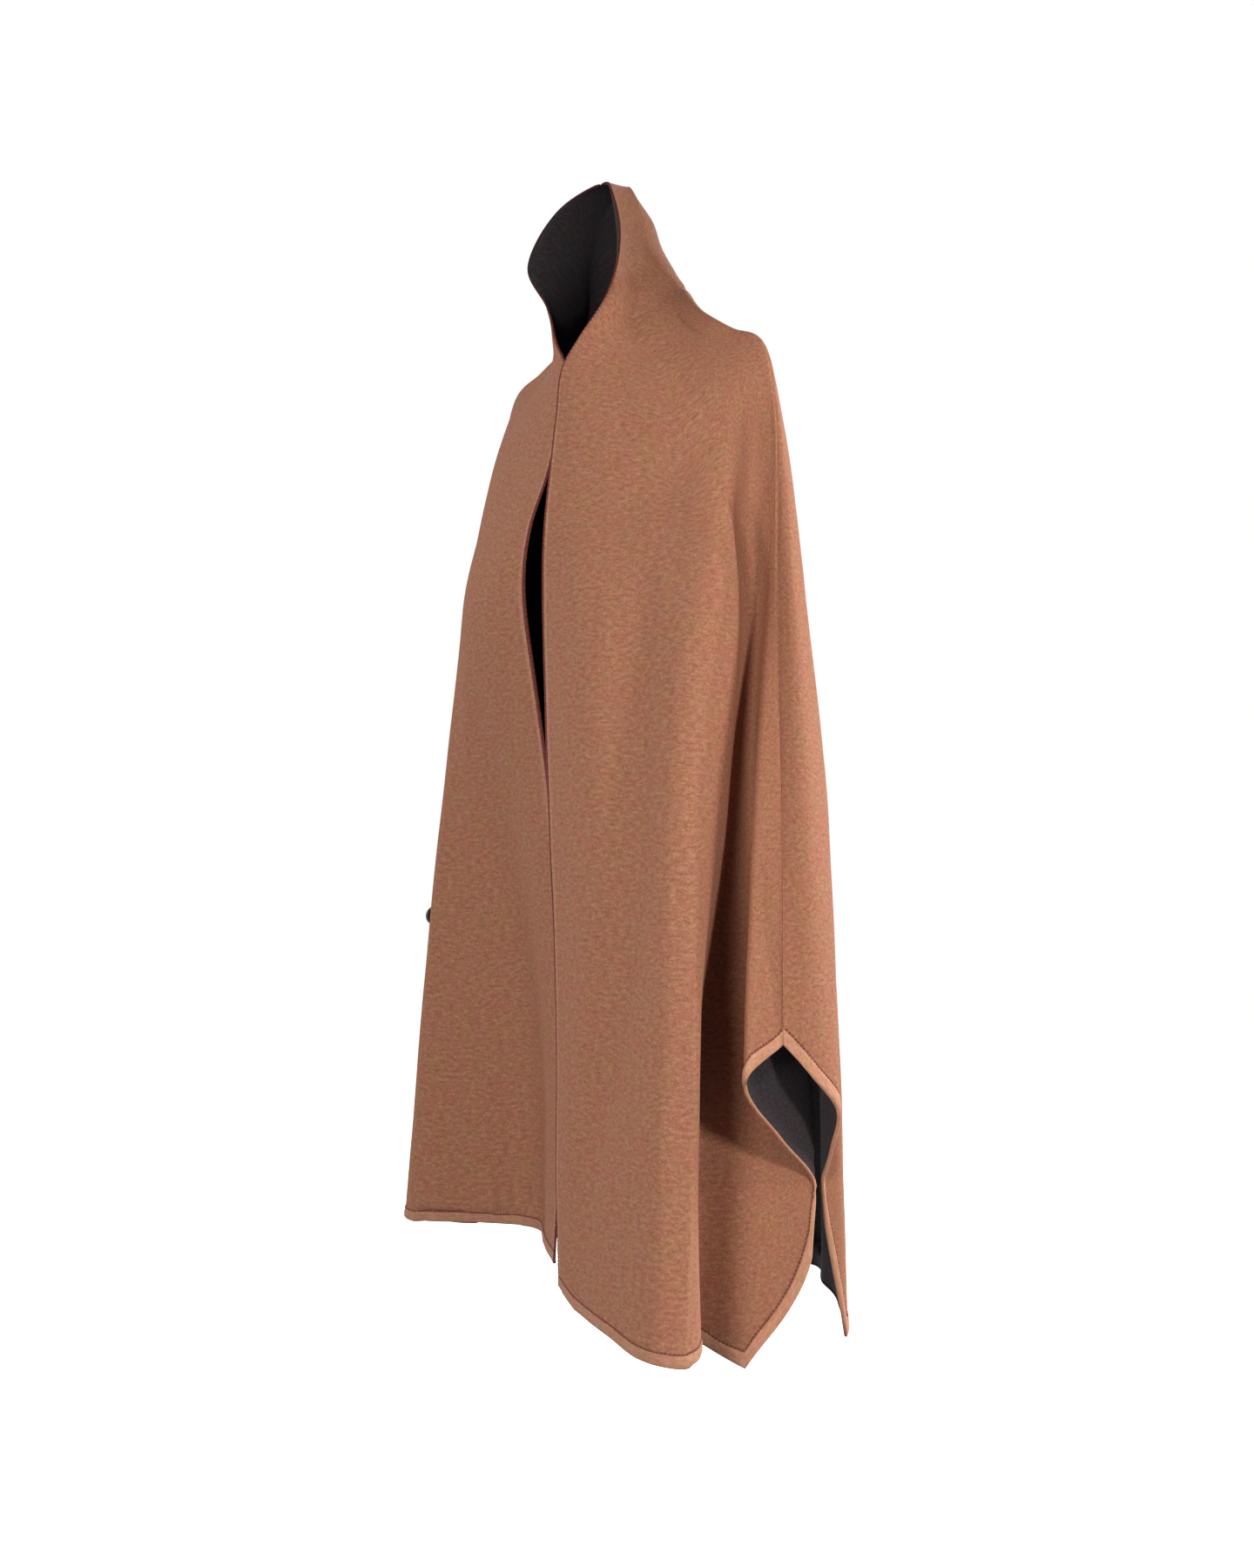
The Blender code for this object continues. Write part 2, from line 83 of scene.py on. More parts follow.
# Limits that keep the mesh sound: the slant at which a band meets the columns of the cloth, how much
# nearer to the middle the hood's inner face may come, and a length that counts as none
LEAST_BAND_SINE = 0.4
LEAST_INNER_SHARE = 0.2
TINY = 1e-6

Ring = namedtuple("Ring", "name left_x left_y right_x right_y edge_z side_x side_y side_z "
                          "back_y back_z flatness")
RINGS = (
    Ring("crown", 0.0, -0.044, 0.0, -0.044, 0.203, 0.0, -0.008, 0.2055, 0.023, 0.18, 1.0),
    Ring("upper hood", 0.0495, -0.0665, 0.0495, -0.0665, 0.1775, 0.034, -0.018, 0.172, 0.027, 0.166, 1.2),
    Ring("wide hood", 0.081, -0.083, 0.081, -0.083, 0.118, 0.051, -0.022, 0.127, 0.037, 0.138, 1.2),
    Ring("lower hood", 0.0555, -0.0775, 0.0555, -0.0775, 0.071, 0.065, -0.01, 0.102, 0.0545, 0.112, 1.3),
    Ring("neck", 0.0204, -0.0914, 0.0204, -0.0914, 0.0237, 0.08, 0.0, 0.082, 0.066, 0.085, 1.3),
    Ring("upper yoke", 0.001, -0.1, -0.001, -0.0935, -0.01, 0.116, 0.0, 0.051, 0.081, 0.042, 1.3),
    Ring("yoke", 0.001, -0.108, -0.001, -0.101, -0.06, 0.167, 0.0, 0.023, 0.094, 0.0, 1.2),
    Ring("shoulder", 0.001, -0.117, 0.006, -0.114, -0.125, 0.21, 0.0, 0.004, 0.106, -0.05, 1.2),
    Ring("upper arm", 0.001, -0.125, 0.018, -0.13, -0.185, 0.232, 0.0, -0.063, 0.12, -0.13, 1.2),
)
NECK_RING = 4
BACK_FLATNESS_RATIO = 1.1

Fold = namedtuple("Fold", "name turn chest_x chest_y waist_x waist_y hip_x hip_y hem_x hem_y end_z")


def like(folds, rows):
    """Folds with the names and turns of other ones, and measures of their own."""
    return tuple(Fold(fold.name, fold.turn, *row) for fold, row in zip(folds, rows))


LEFT_FRONT = (
    Fold("front edge", 0.0, 0.0082, -0.1333, 0.0385, -0.1486, 0.0608, -0.1532, 0.0659, -0.1548, -0.989),
    Fold("panel inner", 0.17, 0.0764, -0.1423, 0.11, -0.1645, 0.1234, -0.1719, 0.1138, -0.1756, -1.001),
    Fold("panel middle", 0.32, 0.1359, -0.1335, 0.1712, -0.1663, 0.1891, -0.1822, 0.1897, -0.2018, -1.005),
    Fold("panel outer", 0.46, 0.1969, -0.1211, 0.2324, -0.1657, 0.2571, -0.1915, 0.2708, -0.2218, -1.011),
    Fold("ridge", 0.57, 0.2433, -0.0943, 0.2764, -0.1498, 0.3104, -0.1792, 0.324, -0.21, -1.012),
    Fold("side of ridge", 0.63, 0.2435, -0.08, 0.266, -0.118, 0.274, -0.145, 0.285, -0.15, -1.014),
    Fold("valley", 0.68, 0.24, -0.0625, 0.248, -0.086, 0.2212, -0.0942, 0.2154, -0.109, -1.016),
    Fold("corner", 0.73, 0.2286, -0.0434, 0.2251, -0.0523, 0.238, -0.056, 0.259, -0.069, -1.05),
    Fold("corner side", 0.77, 0.224, -0.0317, 0.2289, -0.04, 0.264, -0.012, 0.3, 0.002, -0.942),
    Fold("pleat turn", 0.81, 0.225, -0.0228, 0.2421, -0.0366, 0.272, 0.0051, 0.298, -0.002, -0.878),
    Fold("pleat inside", 0.85, 0.2292, -0.0193, 0.2605, -0.0504, 0.289, -0.056, 0.306, -0.06, -0.815),
    Fold("lap inside", 0.89, 0.235, -0.0187, 0.271, -0.0676, 0.3, -0.109, 0.312, -0.12, -0.757),
    Fold("lap outside", 0.93, 0.2422, -0.0194, 0.281, -0.0715, 0.3125, -0.1165, 0.325, -0.128, -0.747),
    Fold("overarm seam", 1.0, 0.2537, -0.0181, 0.2991, -0.0573, 0.318, -0.072, 0.33, -0.08, -0.718),
)
RIGHT_FRONT = like(LEFT_FRONT, (
    (0.02, -0.136, 0.011, -0.106, 0.0045, -0.095, 0.01, -0.107, -0.985),
    (0.085, -0.137, 0.08, -0.097, 0.07, -0.066, 0.085, -0.056, -0.982),
    (0.14, -0.122, 0.14, -0.09, 0.13, -0.05, 0.15, -0.024, -0.982),
    (0.183, -0.099, 0.198, -0.091, 0.199, -0.071, 0.206, -0.053, -0.982),
    (0.215, -0.075, 0.248, -0.084, 0.269, -0.097, 0.28, -0.105, -0.982),
    (0.234, -0.058, 0.264, -0.066, 0.295, -0.077, 0.331, -0.085, -0.984),
    (0.239, -0.049, 0.25, -0.048, 0.24, -0.043, 0.24, -0.056, -0.984),
    (0.241, -0.043, 0.248, -0.037, 0.245, -0.022, 0.265, -0.022, -0.99),
    (0.2425, -0.038, 0.252, -0.029, 0.26, -0.002, 0.295, 0.008, -0.93),
    (0.245, -0.033, 0.258, -0.019, 0.274, 0.018, 0.298, 0.03, -0.872),
    (0.248, -0.028, 0.267, -0.031, 0.289, -0.018, 0.306, -0.015, -0.808),
    (0.2505, -0.0235, 0.272, -0.043, 0.298, -0.056, 0.312, -0.06, -0.75),
    (0.253, -0.019, 0.281, -0.044, 0.31, -0.062, 0.325, -0.066, -0.74),
    (0.256, -0.012, 0.288, -0.022, 0.318, -0.026, 0.33, -0.032, -0.712),
))
LEFT_BACK = (
    Fold("lobe", 0.1, 0.2716, -0.017, 0.3223, -0.0499, 0.336, -0.0535, 0.342, -0.057, -0.746),
    Fold("lobe side", 0.18, 0.264, 0.008, 0.299, 0.008, 0.333, -0.01, 0.34, -0.01, -0.787),
    Fold("back pleat inside", 0.25, 0.249, 0.023, 0.274, 0.023, 0.3, 0.012, 0.305, 0.01, -0.835),
    Fold("back pleat turn", 0.32, 0.239, 0.034, 0.259, 0.032, 0.271, 0.0277, 0.272, 0.03, -0.882),
    Fold("back corner", 0.4, 0.2255, 0.0455, 0.255, 0.046, 0.273, 0.049, 0.273, 0.064, -1.037),
    Fold("back ridge", 0.53, 0.193, 0.072, 0.2175, 0.079, 0.232, 0.088, 0.222, 0.105, -1.016),
    Fold("back valley", 0.66, 0.14, 0.104, 0.157, 0.118, 0.168, 0.136, 0.15, 0.16, -1.008),
    Fold("back flute", 0.82, 0.074, 0.129, 0.087, 0.151, 0.096, 0.182, 0.1, 0.195, -1.01),
)
RIGHT_BACK = like(LEFT_BACK, (
    (0.258, 0.003, 0.3, -0.003, 0.331, -0.004, 0.34, -0.01, -0.74),
    (0.254, 0.019, 0.292, 0.026, 0.326, 0.036, 0.335, 0.04, -0.782),
    (0.247, 0.031, 0.272, 0.037, 0.3, 0.045, 0.305, 0.046, -0.83),
    (0.237, 0.041, 0.258, 0.047, 0.27, 0.053, 0.272, 0.056, -0.878),
    (0.223, 0.054, 0.25, 0.064, 0.268, 0.08, 0.274, 0.094, -1.03),
    (0.182, 0.084, 0.202, 0.098, 0.22, 0.122, 0.224, 0.142, -1.016),
    (0.134, 0.108, 0.15, 0.123, 0.164, 0.143, 0.162, 0.15, -1.012),
    (0.071, 0.13, 0.082, 0.152, 0.09, 0.185, 0.092, 0.198, -1.01),
))
CENTRE_BACK = Fold("centre back", 1.0, 0.0, 0.138, 0.0, 0.16, 0.0, 0.188, 0.0, 0.19, -1.01)


def toward_start(count, power):
    return (np.arange(count) / count)**power


def toward_end(count, power):
    return 1 - (1 - np.arange(count) / count)**power


def evenly(count):
    return np.arange(count) / count


# Where the fine columns lie between one fold and the next, closer together at the front edge, at
# the overarm seam and at the centre back
FRONT_SPANS = [toward_start(22, 1.7)] + [evenly(count) for count in (15, 14, 10, 9, 12, 8, 9, 5, 10, 9, 5)]
FRONT_SPANS += [toward_end(10, 1.9)]
BACK_SPANS = [toward_start(9, 1.9)] + [evenly(count) for count in (8, 7, 6, 5, 9, 12, 13)]
BACK_SPANS += [toward_end(17, 1.6)]
SPANS = FRONT_SPANS + BACK_SPANS
FOLD_PLACES = np.concatenate([k + span for k, span in enumerate(SPANS)] + [[len(SPANS)]])
SEAM_COLUMN = sum(len(span) for span in FRONT_SPANS)

# Rows between one hood ring and the next, rows down the body, and the last rows, which are measured
# up from the cut edge. The band covers the rows from BAND_ROW on.
HOOD_ROWS = [toward_start(14, 1.7), evenly(12), evenly(10), toward_end(12, 1.6)]
FINE_ROWS = 60
BODY_ROWS = 215
BODY_ROW_BIAS = 1.12
HEM_ROWS = np.array((0.016, 0.0135, 0.012, 0.011, 0.0104, 0.008, 0.005, 0.0024, 0.0008, 0.0))
BAND_ROW = -7

# Creases laid on each half. path places are (fold number, height), from fold 0 at the front
# edge by 13 at the overarm seam to 22 at the centre back. depth is a ridge above zero and a trough
# below it. The widths are towards the front and towards the back, and grow is how much wider the
# lower end is. fade_in and fade_out are shares of the length.
Crease = namedtuple("Crease", "path depth front_width back_width grow fade_in fade_out")
LEFT_CREASES = (
    Crease(((1.45, -0.16), (1.5, -0.4), (1.25, -0.65), (0.6, -0.85), (0.2, -1.05)),
           0.0055, 0.055, 0.04, 1.0, 0.35, 0.3),
    Crease(((2.7, -0.16), (2.45, -0.3), (2.45, -0.52), (2.1, -0.66), (1.6, -0.8), (1.0, -1.05)),
           -0.01, 0.033, 0.027, 1.15, 0.3, 0.28),
    Crease(((5.9, -0.09), (5.0, -0.14), (4.2, -0.19), (3.75, -0.25), (3.58, -0.33), (3.54, -0.46),
            (3.42, -0.64), (3.36, -0.82), (3.48, -1.05)), 0.0078, 0.026, 0.018, 1.1, 0.25, 0.0),
    Crease(((10.9, -0.03), (10.4, -0.08), (9.7, -0.13), (9.0, -0.19), (8.3, -0.27), (7.9, -0.37)),
           -0.015, 0.019, 0.014, 1.1, 0.3, 0.45),
    Crease(((4.4, -0.22), (4.24, -0.34), (4.2, -0.5), (4.2, -0.75), (4.2, -1.05)),
           -0.0045, 0.017, 0.018, 1.0, 0.3, 0.0),
    Crease(((1.9, 0.02), (2.3, -0.06), (2.9, -0.14)), -0.003, 0.018, 0.024, 1.5, 0.5, 0.6),
    Crease(((8.5, 0.07), (6.5, 0.01), (4.8, -0.07)), -0.0045, 0.018, 0.026, 1.5, 0.4, 0.6),
    Crease(((11.2, 0.05), (9.6, 0.0), (8.0, -0.07)), 0.0035, 0.018, 0.022, 1.2, 0.5, 0.6),
    Crease(((18.2, -0.1), (18.6, -0.3), (18.9, -0.6)), -0.006, 0.02, 0.026, 1.4, 0.5, 0.6),
    Crease(((19.5, -0.1), (19.6, -0.4), (19.7, -0.8), (19.8, -1.05)), -0.008, 0.02, 0.028, 1.6, 0.6, 0.0),
    Crease(((20.6, -0.2), (20.5, -0.5), (20.5, -1.05)), 0.006, 0.024, 0.028, 1.5, 0.6, 0.0),
    Crease(((21.5, -0.1), (21.4, -0.45), (21.4, -1.05)), -0.007, 0.022, 0.018, 1.4, 0.5, 0.0),
    Crease(((16.5, 0.055), (18.5, 0.02), (20.0, -0.06)), -0.004, 0.016, 0.022, 1.3, 0.4, 0.6),
)
RIGHT_CREASES = (
    Crease(((2.1, -0.28), (2.2, -0.5), (2.3, -0.75), (2.35, -1.02)), -0.012, 0.046, 0.042, 1.15, 0.45, 0.0),
    Crease(((0.7, -0.35), (0.75, -0.6), (0.8, -1.02)), 0.004, 0.03, 0.03, 1.2, 0.5, 0.0),
    Crease(((3.3, -0.2), (3.35, -0.55), (3.3, -1.02)), -0.0035, 0.02, 0.022, 1.2, 0.5, 0.0),
    Crease(((8.5, 0.07), (6.2, -0.01), (4.6, -0.1)), -0.0045, 0.018, 0.024, 1.4, 0.4, 0.6),
    Crease(((9.0, -0.12), (7.4, -0.19), (5.9, -0.3)), -0.004, 0.016, 0.02, 1.3, 0.5, 0.6),
    Crease(((18.3, -0.12), (18.6, -0.35), (18.8, -0.7)), -0.006, 0.018, 0.024, 1.4, 0.5, 0.6),
    Crease(((19.4, -0.16), (19.5, -0.45), (19.6, -0.8), (19.6, -1.05)),
           -0.007, 0.022, 0.024, 1.5, 0.6, 0.0),
    Crease(((20.7, -0.14), (20.6, -0.55), (20.5, -1.05)), 0.006, 0.022, 0.026, 1.5, 0.6, 0.0),
    Crease(((21.4, -0.22), (21.3, -0.55), (21.2, -1.05)), -0.006, 0.02, 0.018, 1.5, 0.5, 0.0),
    Crease(((16.8, 0.05), (18.4, 0.01), (19.8, -0.08)), -0.0035, 0.016, 0.02, 1.3, 0.4, 0.6),
)

# How many folds aside a crease is looked for, its points from one place to the next, and how far
# from the middle the relief is full
CREASE_REACH = 1.6
CREASE_STEPS = 14
CENTRE_FADE = 0.03

# Slow unevenness of hanging cloth, as a wide and a fine pattern: waves per metre across and down,
# and the shift that picks the pattern
UNEVEN_DEPTH = 0.0016
WIDE_ACROSS, WIDE_DOWN, WIDE_SHIFT = 13, 4, 7
FINE_ACROSS, FINE_DOWN, FINE_SHIFT = 30, 11, 3
FINE_SHARE = 0.5

# Rounds that ease the normals, the rows that give the slant at a column's end, and the smoothing of
# that slant along the cut edge
SOFTEN_ROUNDS = 5
SLANT_ROWS = 3
SLANT_SMOOTHING = np.array((1, 2, 3, 2, 1)) / 9

Shell = namedtuple("Shell", "outer inner normals places neck_row")

# The four corners of each cell of a grid of points, as parts of that grid
CORNERS = (np.s_[:-1, :-1], np.s_[1:, :-1], np.s_[:-1, 1:], np.s_[1:, 1:])


def unit(vectors):
    lengths = np.linalg.norm(vectors, axis=-1, keepdims=True)
    return vectors / np.maximum(lengths, TINY)


def smooth_through(points, before, after, spans):
    """Centripetal Catmull-Rom curves along the first axis, read at the given shares of each span."""
    path = np.concatenate([before[None], points, after[None]])
    knots = np.sqrt(np.linalg.norm(np.diff(path, axis=0), axis=-1) + TINY)[..., None]
    lines = []
    for k, span in enumerate(spans):
        a, b, c, d = path[k:k + 4]
        ka, kb, kc = knots[k:k + 3]
        slope_in = ((b - a) / ka - (c - a) / (ka + kb) + (c - b) / kb) * kb
        slope_out = ((c - b) / kb - (d - b) / (kb + kc) + (d - c) / kc) * kb
        for t in span:
            lines.append((2 * t**3 - 3 * t**2 + 1) * b + (t**3 - 2 * t**2 + t) * slope_in
                         + (3 * t**2 - 2 * t**3) * c + (t**3 - t**2) * slope_out)
    lines.append(path[-2])
    return np.array(lines)


def quarter_shares(ring, turn, flatness):
    if ring.side_x == 0:
        return turn, 1 - turn
    angle = turn * np.pi / 2
    return np.sin(angle)**flatness, np.cos(angle)**flatness


def front_quarter(ring, turn, side):
    edge_x, edge_y = (ring.left_x, ring.left_y) if side > 0 else (ring.right_x, ring.right_y)
    gained, left = quarter_shares(ring, turn, ring.flatness)
    x = edge_x + (ring.side_x - edge_x) * gained
    y = ring.side_y + (edge_y - ring.side_y) * left
    z = ring.edge_z + (ring.side_z - ring.edge_z) * turn**2
    return x, y, z


def back_quarter(ring, turn):
    gained, left = quarter_shares(ring, turn, ring.flatness * BACK_FLATNESS_RATIO)
    x = ring.side_x * left
    y = ring.side_y + (ring.back_y - ring.side_y) * gained
    z = ring.back_z + (ring.side_z - ring.back_z) * (1 - turn)**2
    return x, y, z


def fold_line(fold, start):
    return start + [(fold.chest_x, fold.chest_y, CHEST_Z), (fold.waist_x, fold.waist_y, WAIST_Z),
                    (fold.hip_x, fold.hip_y, HIP_Z), (fold.hem_x, fold.hem_y, HEM_Z)]


def control_net(front, back, side):
    lines = [fold_line(fold, [front_quarter(ring, fold.turn, side) for ring in RINGS]) for fold in front]
    lines += [fold_line(fold, [back_quarter(ring, fold.turn) for ring in RINGS]) for fold in back]
    return np.array(lines).transpose(1, 0, 2)


def handed(points, side):
    """Points or normals of a side: as they are for 1, mirrored for -1."""
    return points * np.array((side, 1.0, 1.0))


def fine_surface(net, row_spans):
    down = smooth_through(net, handed(net[1], -1), 2 * net[-1] - net[-2], row_spans)
    across = down.transpose(1, 0, 2)
    columns = smooth_through(across, 2 * across[0] - across[1], handed(across[-2], -1), SPANS)
    return columns.transpose(1, 0, 2)


def end_heights(front, back):
    ends = np.array([fold.end_z for fold in front + back])
    return np.interp(FOLD_PLACES, np.arange(len(ends)), ends)


def cut_column(column, end_z):
    below = int(np.argmax(column[:, 2] < end_z))
    upper, lower = column[below - 1], column[below]
    share = (upper[2] - end_z) / (upper[2] - lower[2])
    return np.vstack([column[:below], upper + (lower - upper) * share])


def edge_stretch(columns):
    """How much longer than wide a strip along the cut edge is when it is measured up each column."""
    ends = np.array([column[-1] for column in columns])
    down = unit(np.array([column[-1] - column[-1 - SLANT_ROWS] for column in columns]))
    along = unit(np.diff(ends, axis=0))
    sines_after = np.linalg.norm(np.cross(down[:-1], along), axis=-1)
    sines_before = np.linalg.norm(np.cross(down[1:], along), axis=-1)
    sines = np.minimum(np.append(sines_after, 1.0), np.insert(sines_before, 0, 1.0))
    stretch = 1 / np.maximum(sines, LEAST_BAND_SINE)
    padded = np.pad(stretch, len(SLANT_SMOOTHING) // 2, mode="edge")
    return np.convolve(padded, SLANT_SMOOTHING, mode="valid")


def run_lengths(points, axis=0):
    """Length from the start of a line or, across or down a grid, from the start of each line in it."""
    steps = np.linalg.norm(np.diff(points, axis=axis), axis=-1)
    return np.insert(np.cumsum(steps, axis=axis), 0, 0.0, axis=axis)


def read_line(at, lengths, points):
    """A line's points at the given lengths along it."""
    return np.stack([np.interp(at, lengths, points[:, axis]) for axis in range(3)], axis=-1)


def spread_rows(column, stretch):
    lengths = run_lengths(column)
    shares = (np.arange(BODY_ROWS) / BODY_ROWS)**BODY_ROW_BIAS
    hem = lengths[-1] - HEM_ROWS * stretch
    places = np.append(shares * hem[0], hem)
    return read_line(places, lengths, column)


def surface_normals(points):
    down = np.diff(points, axis=0)
    across = np.diff(points, axis=1)
    cell = unit(np.cross(down[:, :-1] + down[:, 1:], across[:-1] + across[1:]))
    total = np.zeros_like(points)
    for corner in CORNERS:
        total[corner] += cell
    return unit(total)


def crease_line(points, neck_row, path):
    """A crease's smooth line on the surface, from its fold numbers and heights."""
    places = np.array(path)
    ends = 2 * places[0] - places[1], 2 * places[-1] - places[-2]
    places = smooth_through(places, *ends, [evenly(CREASE_STEPS)] * (len(places) - 1))
    line = []
    for fold, height in places:
        at = np.interp(fold, FOLD_PLACES, np.arange(len(FOLD_PLACES)))
        first = min(int(at), len(FOLD_PLACES) - 2)
        before, after = (read_line(-height, -points[neck_row:, k, 2], points[neck_row:, k])
                         for k in (first, first + 1))
        share = at - first
        line.append(before * (1 - share) + after * share)
    return places, np.array(line)


def add_crease(points, normals, lift, neck_row, crease):
    places, line = crease_line(points, neck_row, crease.path)
    near = ((FOLD_PLACES > places[:, 0].min() - CREASE_REACH)
            & (FOLD_PLACES < places[:, 0].max() + CREASE_REACH))
    spots = points[:, near]
    offsets = spots[:, :, None] - line[None, None]
    nearest = np.argmin((offsets**2).sum(-1), axis=2)
    offset = np.take_along_axis(offsets, nearest[..., None, None], axis=2)[:, :, 0]
    along = unit(np.gradient(line, axis=0))[nearest]
    offset -= along * (offset * along).sum(-1, keepdims=True)
    distance = np.linalg.norm(offset, axis=-1)
    toward_back = (np.cross(along, normals[:, near]) * offset).sum(-1) < 0
    share = nearest / (len(line) - 1)
    width = np.where(toward_back, crease.back_width, crease.front_width)
    width = width * (1 + (crease.grow - 1) * share)
    strength = np.ones_like(share)
    for fade, from_end in ((crease.fade_in, share), (crease.fade_out, 1 - share)):
        if fade > 0:
            strength *= smooth_step(from_end / fade)
    lift[:, near] += crease.depth * strength * np.exp(-(distance / width)**2)


def smooth_step(share):
    held = np.clip(share, 0.0, 1.0)
    return held * held * (3 - 2 * held)


def uneven(points, side):
    """Slow unevenness of hanging cloth, stretched down it."""
    lift = np.zeros(points.shape[:2])
    for row in range(points.shape[0]):
        for column in range(points.shape[1]):
            x, y, z = points[row, column]
            wide = noise.noise(Vector((side * x * WIDE_ACROSS, y * WIDE_ACROSS + WIDE_SHIFT, z * WIDE_DOWN)))
            fine = noise.noise(Vector((side * x * FINE_ACROSS, y * FINE_ACROSS, z * FINE_DOWN + FINE_SHIFT)))
            lift[row, column] = wide + FINE_SHARE * fine
    return lift * UNEVEN_DEPTH


def lengths_from_chest(points, neck_row):
    """Length down each column, counted from the chest, so that the weave hangs level below it."""
    down = run_lengths(points)
    body = np.s_[neck_row:]
    at_chest = [np.interp(-CHEST_Z, -points[body, k, 2], down[body, k]) for k in range(points.shape[1])]
    return down - np.array(at_chest)


def half_shell(front, back, side, creases):
    """Creased outer and inner face of one half, its normals and cloth coordinates."""
    row_spans = HOOD_ROWS + [evenly(FINE_ROWS)] * (len(RINGS) + BODY_CUTS - 1 - NECK_RING)
    surface = fine_surface(control_net(front, back, side), row_spans)
    neck_row = sum(len(span) for span in HOOD_ROWS)
    ends = end_heights(front, back)
    columns = [cut_column(surface[neck_row:, i], ends[i]) for i in range(surface.shape[1])]
    stretches = edge_stretch(columns)
    body = np.stack([spread_rows(column, s) for column, s in zip(columns, stretches)], axis=1)
    points = np.concatenate([surface[:neck_row], body])
    points[np.abs(points[..., 0]) < TINY, 0] = 0.0
    normals = surface_normals(points)
    lift = uneven(points, side)
    for crease in creases:
        add_crease(points, normals, lift, neck_row, crease)
    around = run_lengths(points, 1)
    lift *= smooth_step((around[:, -1:] - around) / CENTRE_FADE)
    lift[:neck_row] *= smooth_step(points[:neck_row, :, 0] / CENTRE_FADE)
    points = points + normals * lift[..., None]
    normals = softened(surface_normals(points), points[..., 0] == 0.0)
    faces = points + normals * seam_dips(points, neck_row)[..., None]
    faces[points[..., 0] == 0.0, 0] = 0.0
    faces[:neck_row + 1, :, 0] = np.maximum(faces[:neck_row + 1, :, 0], 0.0)
    cloth_places = np.stack([run_lengths(points, 1), lengths_from_chest(points, neck_row)], axis=-1)
    return Shell(faces, points - normals * CLOTH, normals, cloth_places, neck_row)


def softened(normals, on_centre):
    """Normals eased over their neighbours, so that the wall keeps its thickness round tight bends."""
    for _ in range(SOFTEN_ROUNDS):
        normals = normals.copy()
        normals[on_centre, 0] = 0.0
        wide = np.concatenate([handed(normals[1:2], -1), normals, normals[-1:]])
        wide = np.concatenate([wide[:, :1], wide, handed(wide[:, -2:-1], -1)], axis=1)
        total = wide[:-2, 1:-1] + wide[2:, 1:-1] + wide[1:-1, :-2] + wide[1:-1, 2:] + 2 * wide[1:-1, 1:-1]
        normals = unit(total)
    normals[on_centre, 0] = 0.0
    return unit(normals)


def seam_dips(points, neck_row):
    """Narrow hollows along the overarm seam, the back neck seam and the hood's centre seam."""
    dips = np.zeros(points.shape[:2])
    around = run_lengths(points, 1)
    from_seam = np.abs(around - around[:, SEAM_COLUMN:SEAM_COLUMN + 1])
    dips[neck_row:] += seam_profile(from_seam[neck_row:])
    down = run_lengths(points)
    from_neck = np.abs(down - down[neck_row])
    dips[:, SEAM_COLUMN:] += seam_profile(from_neck[:, SEAM_COLUMN:])
    hood = points[:neck_row + 1]
    from_crown_end = np.linalg.norm(hood - points[0, -1], axis=-1)
    dips[:neck_row + 1] += seam_profile(hood[..., 0]) * smooth_step(from_crown_end / CROWN_END_FADE)
    return np.maximum(dips, -SEAM_DEPTH)


def seam_profile(distance):
    dip = -SEAM_DEPTH * np.exp(-(distance / SEAM_HALF_WIDTH)**2)
    return dip + SEAM_SHOULDER * np.exp(-((distance - SHOULDER_PLACE) / SHOULDER_WIDTH)**2)


def pull_in(points, from_index, to_index):
    here, inside = points[from_index], points[to_index]
    points[from_index] = here + unit(inside - here) * SEAM_GAP / 2


def new_object(name, data):
    made = bpy.data.objects.new(name, data)
    bpy.context.scene.collection.objects.link(made)
    return made


def plain(name, vertices, faces, materials, side=1, material_indices=None, places=None):
    """Mesh object of a side from arrays of points, faces and, where given, cloth coordinates."""
    mesh = bpy.data.meshes.new(name)
    if side < 0:
        faces = [face[::-1] for face in faces]
    mesh.from_pydata(handed(vertices, side).tolist(), [], faces)
    for material in materials:
        mesh.materials.append(material)
    if material_indices is not None:
        mesh.polygons.foreach_set("material_index", np.array(material_indices, dtype=np.int32))
    if places is not None:
        layer = mesh.uv_layers.new(name="Cloth")
        corners = np.empty(len(mesh.loops), dtype=np.int32)
        mesh.loops.foreach_get("vertex_index", corners)
        layer.data.foreach_set("uv", places[corners].astype(np.float32).ravel())
    mesh.shade_smooth()
    mesh.update()
    return new_object(name, mesh)


def circle(across, up, sides):
    """Directions round a circle."""
    return [across * np.cos(angle) + up * np.sin(angle) for angle in np.arange(sides) * 2 * np.pi / sides]


def ring_faces(rings, sides):
    """Faces between closed rings of points that follow one another."""
    return [[low + i, low + sides + i, low + sides + (i + 1) % sides, low + (i + 1) % sides]
            for low in range(0, (rings - 1) * sides, sides) for i in range(sides)]


# Rounded rim of the front edge. The rim's material covers the first cells from the edge, and the
# strip's those up to STRIP_CELLS. RIM_COLUMN is the column that the edge is rounded away from.
RIM_ANGLES = np.radians((30, 60, 90, 120, 150))
RIM_CELLS = 4
STRIP_CELLS = 7
RIM_COLUMN = 3
OUTSIDE, INSIDE, STRIP, RIM = 0, 1, 2, 3


def open_edges(quads):
    """Edges that only one face has."""
    edges = {}
    for quad in quads.tolist():
        for edge in zip(quad, quad[1:] + quad[:1]):
            if not edges.pop(edge[::-1], False):
                edges[edge] = True
    return edges


